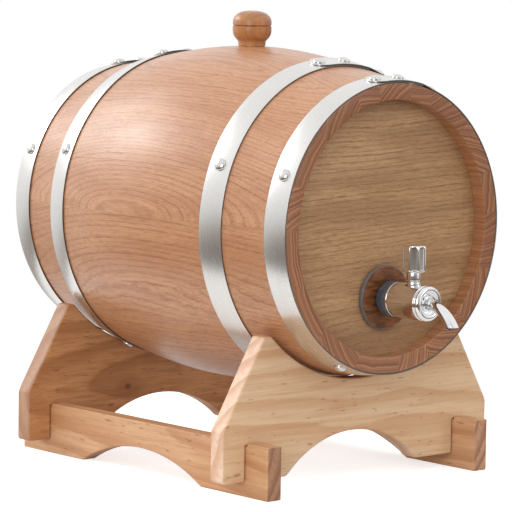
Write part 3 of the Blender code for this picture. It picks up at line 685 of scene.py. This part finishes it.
def make_head(end, finishes):
    """Three boards glued edge to edge, with one figure running across all of them."""
    low_y, high_y = (corner.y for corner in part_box(f"{end}_head_plank_2"))
    outer_y, inner_y = (low_y, high_y) if end == "front" else (high_y, low_y)
    toward = math.copysign(1.0, inner_y - outer_y)
    tongue = outer_y + toward * (CROZE_WIDTH - 2 * GAP)
    bevel_start, bevel_end = CHIME_INNER_RADIUS - 0.001, 0.093
    arris, hairline = 0.00008, 0.00002
    offset = random.uniform(0, 9)
    for number in (1, 2, 3):
        node = f"{end}_head_plank_{number}"
        low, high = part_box(node)
        bottom = -HEAD_RIM if number == 1 else low.z - AXIS_Z - GAP / 2 + hairline
        top = HEAD_RIM if number == 3 else high.z - AXIS_Z + GAP / 2 - hairline
        builder = bmesh.new()
        rings = [
            plank_ring(HEAD_RIM - arris, outer_y, bottom + arris, top - arris),
            plank_ring(HEAD_RIM, outer_y + toward * arris, bottom, top),
            plank_ring(HEAD_RIM, tongue, bottom, top),
            plank_ring(bevel_start, tongue, bottom, top),
            plank_ring(bevel_end, inner_y, bottom, top),
        ]
        add_loft(builder, rings)
        plank = add_piece(f"{node}_oak", builder, "barrel", node, finishes["head"], 25)
        if end == "front" and number == 1:
            place = along_barrel(HEAD_DEPTH - 0.002, middle_of("tap_grommet")[2])
            drill(plank, place, 0.0, HEAD_THICKNESS + 0.004, TAP_HOLE_RADIUS)

        def place_in_tree(point):
            inward = (point.y - outer_y) * toward
            return point.z - AXIS_Z + 0.14, point.x + offset, 0.085 + inward - 0.08 * point.x

        set_grain(plank, place_in_tree, ACROSS, 0.5)


# -------- hoops, nails and rivets
def hoop_radius(near, depth):
    share = (depth - near) / HOOP_WIDTH
    return GAP + stave_radius(near) * (1 - share) + stave_radius(near + HOOP_WIDTH) * share


def strip_stations(near):
    """(angle, lift, half width) along the strip, from its inner end round to its rounded outer end."""
    lift = HOOP_THICKNESS + GAP
    half = HOOP_WIDTH / 2
    stations = []
    ramp = LAP_START + math.tau - CELL
    for k in range(round((LAP_END - LAP_START + math.tau) / FACET)):
        angle = LAP_START + k * FACET
        share = min(max((angle - ramp) / CELL, 0.0), 1.0)
        stations.append((angle, lift * share, half))
    radius = hoop_radius(near, near + half)
    round_steps = 10
    for k in range(round_steps + 1):
        turn = math.pi / 2 * k / round_steps
        width = max(half * math.cos(turn), half * 0.06)
        stations.append((LAP_END + math.tau - half * (1 - math.sin(turn)) / radius, lift, width))
    return [s for s in stations if s[2] < half or s[0] < LAP_END + math.tau - half / radius]


def make_hoop(name, near, finishes):
    builder = bmesh.new()
    rings = []
    middle = near + HOOP_WIDTH / 2
    edge = 0.0003
    for angle, lift, half in strip_stations(near):
        low, high = hoop_radius(near, middle - half) + lift, hoop_radius(near, middle + half) + lift
        corners = [
            (low, middle - half),
            (low + HOOP_THICKNESS, middle - half),
            (high + HOOP_THICKNESS, middle + half),
            (high, middle + half),
        ]
        rings.append([on_barrel(r, angle, depth) for r, depth in rounded(corners, edge, 3, closed=True)])
    add_loft(builder, rings)
    hoop = add_piece(f"{name}_strip", builder, "barrel", name, finishes["hoop"], 50)
    # painted shade: the strip's edge faces take the dark steel
    hoop.data.materials.append(finishes["hoop_side_shade"][1])
    for face in hoop.data.polygons:
        is_cut_edge = abs(face.normal.y) > 0.55
        face.material_index = int(is_cut_edge)


def fastener_frame(near, degrees, lift):
    """Axis frame with its height along the hoop's outward normal, and its zero on the outside face."""
    angle = math.radians(degrees)
    middle = near + HOOP_WIDTH / 2
    foot = on_barrel(hoop_radius(near, middle) + HOOP_THICKNESS + lift, angle, middle)
    slope = math.atan2(stave_radius(near + HOOP_WIDTH) - stave_radius(near), HOOP_WIDTH)
    outward = Vector((math.cos(angle), 0.0, math.sin(angle)))
    normal = outward * math.cos(slope) - Vector((0.0, 1.0, 0.0)) * math.sin(slope)
    side = Vector((-math.sin(angle), 0.0, math.cos(angle)))
    return Matrix.Translation(foot) @ Matrix((side, normal.cross(side), normal)).transposed().to_4x4()


def dome_profile():
    """A domed head: a shallow cap over a short upright rim with an eased edge."""
    rim = 0.0006
    steps = 10
    cap = NAIL_HEAD_HEIGHT - rim
    turns = [math.pi / 2 * k / steps for k in range(1, steps + 1)]
    curve = [(NAIL_HEAD_RADIUS * math.sin(turn), rim + cap * math.cos(turn) ** 1.15) for turn in turns]
    return [(0.0, NAIL_HEAD_HEIGHT), *curve, (NAIL_HEAD_RADIUS - 0.0002, 0.0), (NAIL_SHANK_RADIUS, 0.0)]


def make_fasteners(finish):
    """Four nails to each hoop, and the two rivets of its lap, which have no CAD node of their own."""
    dome = dome_profile()
    nail = dome + [(NAIL_SHANK_RADIUS, 0.002 - NAIL_LENGTH), (0.0, -NAIL_LENGTH)]
    rivet = dome + [(NAIL_SHANK_RADIUS, -HOOP_THICKNESS), (0.0, -HOOP_THICKNESS)]
    steps, angle = 40, 32
    for hoop, near in HOOP_NEAR.items():
        for number, degrees in enumerate(NAIL_ANGLES, start=1):
            node = f"{hoop.replace('hoop', 'nail')}_{number}"
            place = fastener_frame(near, degrees, 0.0)
            turned_piece(f"{node}_dome", nail, place, "barrel", node, finish, False, steps, angle)
        for number, degrees in enumerate(RIVET_ANGLES, start=1):
            name = f"{hoop}_rivet_{number}"
            place = fastener_frame(near, degrees, HOOP_THICKNESS + GAP)
            turned_piece(name, rivet, place, "barrel", None, finish, False, steps, angle)


# -------- bung
def make_bung(finish):
    """Turned knob with a V-groove round its middle, a short neck and a tapered shank."""
    surface = AXIS_Z + BILGE_RADIUS
    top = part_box("bung")[1].z - surface
    knob, neck = 0.0161, 0.0114
    profile = [(0.0, top)]
    cap_steps = 12
    cap_height = top - 0.0196
    for k in range(1, cap_steps + 1):
        turn = math.pi / 2 * k / cap_steps
        profile.append((knob * math.sin(turn) ** 0.82, top - cap_height * (1 - math.cos(turn)) ** 1.05))
    profile += [
        (knob, 0.0175), (knob - 0.0009, 0.0168), (knob, 0.0161), (knob, 0.0124),
        (knob * 0.975, 0.0098), (knob * 0.90, 0.0074), (neck * 1.10, 0.0052), (neck, 0.0038),
        (neck, 0.0010), (neck, 0.0004), (0.0108, 0.0002), (0.0096, -0.020), (0.0, -0.020),
    ]
    place = upright("bung", surface)
    bung = turned_piece("bung_turned", profile, place, "bung", "bung", finish, steps=64, angle=50)
    centre = place.translation

    def in_tree(point):
        return point.x - centre.x + 0.004, point.z + 3.0, point.y - centre.y + 0.030

    set_grain(bung, in_tree, UP, 0.5)


# -------- tap
def ring_outline(inner, outer, near, far, ease=0.0004):
    return rounded([(outer, near), (outer, far), (inner, far), (inner, near)], ease, 3, closed=True)


def depths(node):
    low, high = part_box(node)
    return low.y - FRONT_Y, high.y - FRONT_Y


def make_tap(finishes):
    low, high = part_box("tap_body")
    tap_z = (low.z + high.z) / 2
    radius = (high.z - low.z) / 2
    front, shank_end = depths("tap_body")
    shoulder = depths("tap_grommet")[0] - GAP
    place = along_barrel(0.0, tap_z)
    bore, shank, ease = 0.0026, 0.0104, 0.0006
    profile = [
        (bore, front), (radius - ease, front), (radius, front + ease),
        (radius, shoulder - 0.0030), (radius - 0.0004, shoulder - 0.0026), (radius, shoulder - 0.0022),
        (radius, shoulder - ease), (radius - ease, shoulder), (shank, shoulder), (shank, shank_end),
        (bore, shank_end),
    ]
    profile = rounded(profile, 0.0003, 3, closed=True)
    chrome = finishes["chrome"]
    body = turned_piece("tap_body_turned", profile, place, "barrel", "tap_body", chrome, True)
    key = Matrix.Translation((0.0, middle_of("key_stem")[1], tap_z))
    drill(body, key, -0.0093, radius + 0.004, 0.0063)

    sleeve_bore = shank + GAP
    pad = ring_outline(sleeve_bore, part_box("head_pad")[1].x, *depths("head_pad"), 0.0014)
    turned_piece("head_pad_silicone", pad, place, "barrel", "head_pad", finishes["pad"], True)

    near, far = depths("tap_grommet")
    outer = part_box("tap_grommet")[1].x
    step, sleeve = 0.0042, 0.0120
    grommet = [
        (outer, near), (outer, step), (sleeve, step), (sleeve, far), (sleeve_bore, far), (sleeve_bore, near),
    ]
    grommet = rounded(grommet, 0.0009, 4, closed=True)
    turned_piece("tap_grommet_silicone", grommet, place, "barrel", "tap_grommet", finishes["rubber"], True)

    for node, finish in (("inner_seal", "rubber"), ("inner_washer", "nail")):
        ring = ring_outline(sleeve_bore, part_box(node)[1].x, *depths(node))
        turned_piece(f"{node}_ring", ring, place, "barrel", node, finishes[finish], True)
    make_lock_nut(sleeve_bore, tap_z, finishes["nail"])
    make_nose(tap_z, radius, chrome)
    make_spout(tap_z, chrome)
    make_key(key, tap_z, finishes)


def make_lock_nut(bore, tap_z, finish):
    near, far = depths("lock_nut")
    sixth = math.pi / 3
    half_width = 0.0156 * math.cos(sixth / 2)
    steps = 72
    place = along_barrel(0.0, tap_z)
    rings = []
    chamfer = 0.0008
    stations = (
        (1.0, near, chamfer), (1.0, near + chamfer, 0.0), (1.0, far - chamfer, 0.0), (1.0, far, chamfer),
        (0.0, far, 0.0), (0.0, near, 0.0),
    )
    for share, height, drop in stations:
        ring = []
        for k in range(steps):
            angle = math.tau * k / steps
            from_flat = (angle + math.pi / 6) % sixth - math.pi / 6
            flat = half_width / math.cos(from_flat)
            radius = min(flat, half_width * 1.10) - drop if share else bore
            ring.append(place @ Vector((radius * math.cos(angle), radius * math.sin(angle), height)))
        rings.append(ring)
    builder = bmesh.new()
    add_loft(builder, rings, closed=True)
    add_piece("lock_nut_hexagon", builder, "barrel", "lock_nut", finish, 25)


def make_nose(tap_z, radius, chrome):
    """Rounded cap on the front of the body: a bright rolled lip, a groove and a raised middle."""
    near, far = depths("tap_nose")
    place = along_barrel(far, tap_z) @ Matrix.Scale(-1, 4, (0, 0, 1))
    length = far - near
    bore, lip = 0.0048, 0.0028
    profile = [
        (bore, 0.0), (radius - 0.0004, 0.0), (radius, 0.0004), (radius, 0.0008), (radius - 0.0004, 0.0011),
        (radius, 0.0014),
    ]
    profile += arc((radius - lip, length - lip), lip, 0.0, math.pi * 0.72, 12)
    profile += [
        (0.0091, length - 0.0030), (0.0080, length - 0.0034), (0.0070, length - 0.0030),
        (0.0062, length - 0.0016), (bore, length - 0.0010),
    ]
    profile = rounded(profile, 0.0002, 2, closed=True)
    turned_piece("tap_nose_turned", profile, place, "barrel", "tap_nose", chrome, True, steps=96)


def make_spout(tap_z, chrome):
    """Curved tube that flares a little, with a collar where it leaves the nose, cut level at its mouth."""
    low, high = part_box("spout")
    tip_z = low.z
    start, finish = math.radians(5), math.radians(58)
    bend_radius = 0.0356
    steps = 40
    tail_depth, bend_depth, bend_z = high.y - FRONT_Y, -0.0396, tap_z + 0.0005
    path = [
        (tail_depth, tap_z, 0.0, 0.0040),
        (bend_depth + 0.0012, tap_z + 0.0003, 0.04, 0.0040),
    ]
    for k in range(steps + 1):
        angle = start + (finish - start) * k / steps
        depth = bend_depth - bend_radius * (math.sin(angle) - math.sin(start))
        z = bend_z - bend_radius * (math.cos(start) - math.cos(angle))
        collar = 0.0012 * max(0.0, 1 - abs(k - 3) / 3.0) ** 0.5
        path.append((depth, z, angle, 0.0040 + 0.0009 * k / steps + collar * 0.45))
    around = 48
    wall = 0.0010
    outer_rings, inner_rings = [], []
    for number, (depth, z, angle, radius) in enumerate(path):
        centre = Vector((0.0, at_depth(depth), z))
        forward = Vector((0.0, -math.cos(angle), -math.sin(angle)))
        up = forward.cross(ACROSS)
        last = number == len(path) - 1
        inner = 0.0026 + 0.0016 * (number / len(path)) ** 3
        for rings, size in ((outer_rings, radius), (inner_rings, min(inner, radius - wall))):
            ring = []
            for k in range(around):
                turn = math.tau * k / around
                point = centre + size * (math.cos(turn) * ACROSS + math.sin(turn) * up)
                if last:
                    point += forward * ((point.z - tip_z) / -forward.z)
                ring.append(point)
            rings.append(ring)
    builder = bmesh.new()
    add_loft(builder, outer_rings + inner_rings[::-1], closed=True)
    add_piece("spout_tube", builder, "barrel", "spout", chrome, 50)


def make_key(key, tap_z, finishes):
    """The cross-bored plug, stem with its seal, and fluted knob, all turning together."""
    heights = {
        node: [corner.z - tap_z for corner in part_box(node)] for node in ("valve_plug", "key_stem", "key_knob")
    }
    plug_low, plug_high = heights["valve_plug"]
    plug_radius, bore = 0.0060, 0.0026
    tang, socket_floor = 0.0029, 0.0033
    profile = [
        (0.0, plug_low), (plug_radius, plug_low), (plug_radius, plug_high), (tang, plug_high),
        (tang, socket_floor), (0.0, socket_floor),
    ]
    profile = rounded(profile, 0.0004, 3)
    nail = finishes["nail"]
    plug = turned_piece("valve_plug_turned", profile, key, "tap_key", "valve_plug", nail, steps=64)
    drill(plug, key @ Matrix.Rotation(math.pi / 2, 4, "Y"), -0.008, 0.008, bore)

    knob_low, knob_high = heights["key_knob"]
    stem_low, stem_high = heights["key_stem"]
    radius, groove, spigot = 0.0058, 0.0042, 0.0030
    waist, top = radius - 0.0006, radius - 0.0002
    groove_low, groove_high = 0.0085, 0.0105
    base = plug_high + GAP
    collar_low, collar_high = 0.0150, 0.0166
    profile = [
        (0.0, stem_low), (0.0026, stem_low), (0.0026, base), (radius, base), (radius, groove_low),
        (groove, groove_low), (groove, groove_high), (radius, groove_high), (radius, collar_low),
        (waist, collar_low + 0.0004), (waist, collar_high), (top, collar_high + 0.0006),
        (top, knob_low - GAP), (spigot, knob_low - GAP), (spigot, stem_high), (0.0, stem_high),
    ]
    chrome = finishes["chrome"]
    turned_piece("key_stem_turned", rounded(profile, 0.0003, 3), key, "tap_key", "key_stem", chrome)
    seal = ring_outline(groove + GAP, 0.0059, groove_low + GAP, groove_high - GAP, 0.0006)
    turned_piece("stem_seal_ring", seal, key, "tap_key", "stem_seal", finishes["rubber"], True)
    make_knob(key, knob_low, knob_high, spigot + GAP, stem_high + GAP, chrome)


def make_knob(key, base, top, socket, floor, chrome):
    """Fluted grip: eight nearly flat flutes between narrow bright ridges, with rounded ends."""
    flutes, samples = 8, 24
    radius, flute_depth = 0.0100, 0.0013
    ease, end_steps = 0.0026, 8
    first_ridge = math.radians(22.5)
    quarter = [math.pi / 2 * k / end_steps for k in range(end_steps + 1)]
    lower_end = [(base + ease * (1 - math.cos(turn)), math.sin(turn)) for turn in quarter]
    levels = lower_end + [(base + top - z, fullness) for z, fullness in lower_end[::-1]]
    rings = []
    for z, fullness in levels:
        ring = []
        for k in range(flutes * samples):
            across = math.sin(math.pi * (k % samples) / samples)
            rise = min(1.3 * across, 1.0)
            hollow = 0.8 * rise * rise * (3 - 2 * rise) + 0.2 * across * across
            size = radius - 0.0024 * (1 - fullness) - flute_depth * hollow * fullness**3
            turn = first_ridge + math.tau * k / (flutes * samples)
            ring.append(key @ Vector((size * math.cos(turn), size * math.sin(turn), z)))
        rings.append(ring)
    builder = bmesh.new()
    add_loft(builder, rings)
    knob = add_piece("key_knob_fluted", builder, "tap_key", "key_knob", chrome, 35)
    drill(knob, key, base - 0.002, floor, socket)


# -------- stand
def add_board(node, sides, finish, ease, in_tree, fibre, tint):
    """A board between two equal outlines, with all its edges eased by sanding."""
    builder = bmesh.new()
    add_loft(builder, sides)
    board = add_piece(f"{node}_board", builder, "stand", node, finish, 35)
    bevel = board.modifiers.new("eased_edges", "BEVEL")
    bevel.width = ease
    bevel.segments = 3
    bevel.limit_method = "ANGLE"
    bevel.angle_limit = math.radians(25)
    board.modifiers.new("even_shading", "WEIGHTED_NORMAL").keep_sharp = True
    apply_modifiers(board)
    set_grain(board, in_tree, fibre, tint)


def cradle_outline(node):
    """(x, z) outline of a cradle board: saddle above, arch below, a notch over each rail."""
    low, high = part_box(node)
    rail_low, rail_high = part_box("right_rail")
    depth = low.y - FRONT_Y
    thickness = high.y - low.y
    play = 0.0009
    slot_depth = 0.002
    notch_top = rail_high.z - slot_depth + GAP
    bottom, half = low.z, high.x
    shoulder_z, top_half = 0.0529, 0.1035
    saddle_radius = 0.134
    rest_radius = max(stave_radius(depth), stave_radius(depth + thickness))
    saddle_z = AXIS_Z - rest_radius - GAP + saddle_radius
    arch_x, arch_radius, arch_top = ARCHES[node]
    arch_z = arch_top - arch_radius
    foot = 0.006
    foot_z = bottom + foot
    reach = math.sqrt((arch_radius + foot) ** 2 - (foot_z - arch_z) ** 2)
    tangent = math.atan2(foot_z - arch_z, reach)
    saddle_end = math.asin((high.z - saddle_z) / saddle_radius)
    ease = 0.002

    def notch(side):
        inner, outer = side * rail_low.x, side * rail_high.x
        near = min(inner, outer)
        far = near + rail_high.x - rail_low.x + GAP
        return [(near - play, bottom), (near - play, notch_top), (far, notch_top), (far, bottom)]

    right = notch(1)
    right += [(half - ease, bottom), (half, bottom + ease), (half, shoulder_z), (top_half, high.z)]
    saddle = arc((0.0, saddle_z), saddle_radius, saddle_end, -math.pi - saddle_end, 72)
    left = [(-x, z) for x, z in right[4:][::-1]] + notch(-1)
    left_foot = arc((arch_x - reach, foot_z), foot, -math.pi / 2, -tangent, 6)
    arch = arc((arch_x, arch_z), arch_radius, math.pi - tangent, tangent, 56)
    right_foot = [(2 * arch_x - x, z) for x, z in left_foot[::-1]]
    return right + saddle + left + left_foot + arch[1:-1] + right_foot


def rail_outline():
    """(y, z) outline of a rail: arched below, with a shallow slot above for each cradle."""
    low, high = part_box("right_rail")
    middle = (low.y + high.y) / 2
    arch_radius, arch_top = 0.1504, 0.0205
    centre_z = arch_top - arch_radius
    spring = math.asin(-centre_z / arch_radius)
    floor = high.z - 0.002

    def slot(node):
        near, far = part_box(node)[0].y - GAP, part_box(node)[1].y + GAP
        return [(far, high.z), (far, floor), (near, floor), (near, high.z)]

    arch = arc((middle, centre_z), arch_radius, math.pi - spring, spring, 56)
    bottom = [(low.y, 0.0), *arch, (high.y, 0.0)]
    return bottom + [(high.y, high.z), *slot("rear_cradle"), *slot("front_cradle"), (low.y, high.z)]


def make_stand(finishes):
    """Two cradle boards across and two rails along, each sawn from a place of its own in a tree."""
    cradles = (
        ("front_cradle", "pine", -0.005, 0.100, 0.02, 0.30),
        # the rear board's dark tint is partly its own tone and partly painted shade
        ("rear_cradle", "knot_and_shade_pine", 0.058, 0.034, -0.10, 0.95),
    )
    for node, finish, heart_z, heart_out, slope, tint in cradles:
        low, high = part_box(node)
        sides = [[Vector((x, y, z)) for x, z in cradle_outline(node)] for y in (low.y, high.y)]

        def in_tree(point):
            return point.z - heart_z, point.x, heart_out + (point.y - low.y) + slope * point.x

        add_board(node, sides, finishes[finish], 0.0014, in_tree, ACROSS, tint)
    for node, heart_z, slope, tint in (("left_rail", 0.052, 0.05, 0.80), ("right_rail", 0.060, -0.04, 0.15)):
        low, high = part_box(node)
        sides = [[Vector((x, y, z)) for y, z in rail_outline()] for x in (low.x, high.x)]

        def in_tree(point):
            return point.z - heart_z, point.y + 5.0, 0.062 + point.x - low.x + slope * (point.y - low.y)

        add_board(node, sides, finishes["rail_pine"], 0.0012, in_tree, ALONG, tint)


# -------- floor, light and camera
def make_floor():
    """A white sheet, more than twice as wide and as long as the barrel on its stand."""
    builder = bmesh.new()
    bmesh.ops.create_grid(builder, x_segments=1, y_segments=1, size=1.0)
    bmesh.ops.scale(builder, vec=(0.40, 0.46, 1.0), verts=builder.verts)
    floor = add_object("floor", to_mesh(builder, "floor"))
    g = Material("floor_white", 0.9)
    g.set("Base Color", (0.72, 0.72, 0.72, 1.0))
    g.set("Specular IOR Level", 0.1)
    g.set("Emission Color", (1.0, 1.0, 1.0, 1.0))
    path = g.nodes.new("ShaderNodeLightPath").outputs
    mirrored = g.times(path["Is Glossy Ray"], 0.20)
    g.set("Emission Strength", g.times(path["Is Camera Ray"], 0.66, mirrored))
    floor.data.materials.append(g.material)


def add_area_light(name, position, size, power):
    light = bpy.data.lights.new(name, "AREA")
    light.shape = "RECTANGLE"
    light.size, light.size_y = size
    light.energy = power
    lamp = add_object(name, light)
    lamp.location = position
    target = Vector((0.0, 0.0, 0.18))
    lamp.rotation_euler = (target - Vector(position)).to_track_quat("-Z", "Y").to_euler()


def make_world():
    """A studio: bright overhead, dark below the table's edge but for a white sweep behind.

    The camera sees it as plain white.
    """
    world = bpy.data.worlds.new("studio")
    bpy.context.scene.world = world
    world.use_nodes = True
    g = Graph(world.node_tree)
    background = g.nodes["Background"].inputs
    direction = g.nodes.new("ShaderNodeTexCoord").outputs["Generated"]
    path = g.nodes.new("ShaderNodeLightPath").outputs
    ramp = g.nodes.new("ShaderNodeValToRGB")
    stops = ramp.color_ramp.elements
    stops[0].position, stops[0].color = 0.0, (0.17, 0.15, 0.13, 1.0)
    stops[1].position, stops[1].color = 1.0, (0.95, 0.95, 0.95, 1.0)
    stops.new(0.37).color = (0.20, 0.17, 0.15, 1.0)
    stops.new(0.465).color = (0.47, 0.41, 0.37, 1.0)
    for position, level in ((0.51, 0.70), (0.56, 0.82), (0.72, 1.0)):
        stops.new(position).color = (level, level, level, 1.0)
    _, back, up = g.split(direction)
    behind = g.math("POWER", g.math("MAXIMUM", back, 0.0), 3.0)
    sweep = g.times(behind, 0.20, 0.475)
    g.feed(ramp.inputs[0], g.times(up, 0.5, sweep))
    g.feed(background["Color"], g.mix(path["Is Camera Ray"], ramp.outputs[0], (1.0, 1.0, 1.0)))
    facing = g.vector("DOT_PRODUCT", direction, (-0.66, -0.75, 0.10))
    shade = g.times(g.span(facing, 0.55, 0.95, 0.0, 0.35, smooth=True), path["Is Glossy Ray"])
    g.feed(background["Strength"], g.math("SUBTRACT", 1.0, shade))


def make_lights():
    make_world()
    add_area_light("left_softbox", (-1.7, -0.9, 0.6), (1.0, 1.0), 8.5)
    add_area_light("right_softbox", (1.0, -1.85, 0.5), (0.35, 1.2), 2.0)
    add_area_light("rear_softbox", (-0.65, 1.5, 1.15), (1.3, 0.9), 9.0)
    add_area_light("small_softbox", (-0.88, 1.59, 1.28), (0.35, 0.35), 3.5)


def make_camera():
    """Where the lens of the reference view sat: low, to the front left, and far off."""
    azimuth, elevation, roll = math.radians(-41.4546), math.radians(-6.0856), math.radians(0.9602)
    position = Vector((-1.6295, FRONT_Y - 1.6802, 0.4328))
    forward = Vector((
        -math.sin(azimuth) * math.cos(elevation), math.cos(azimuth) * math.cos(elevation), math.sin(elevation)
    ))
    right = forward.cross(UP).normalized()
    up = right.cross(forward)
    rolled_right = right * math.cos(roll) + up * math.sin(roll)
    rolled_up = up * math.cos(roll) - right * math.sin(roll)
    data = bpy.data.cameras.new("camera")
    data.sensor_width = 36.0
    data.lens = 209.18
    data.clip_start, data.clip_end = 0.1, 50.0
    camera = add_object("camera", data)
    turn = Matrix((rolled_right, rolled_up, -forward)).transposed().to_4x4()
    camera.matrix_world = Matrix.Translation(position) @ turn
    bpy.context.scene.camera = camera


def main():
    finishes = make_finishes()
    make_staves(finishes)
    make_head("front", finishes)
    make_head("rear", finishes)
    for hoop, near in HOOP_NEAR.items():
        make_hoop(hoop, near, finishes)
    make_fasteners(finishes["nail"])
    make_bung(finishes["bung"])
    make_tap(finishes)
    make_stand(finishes)
    make_floor()
    make_lights()
    make_camera()
    bpy.context.scene.view_settings.view_transform = "Standard"


main()
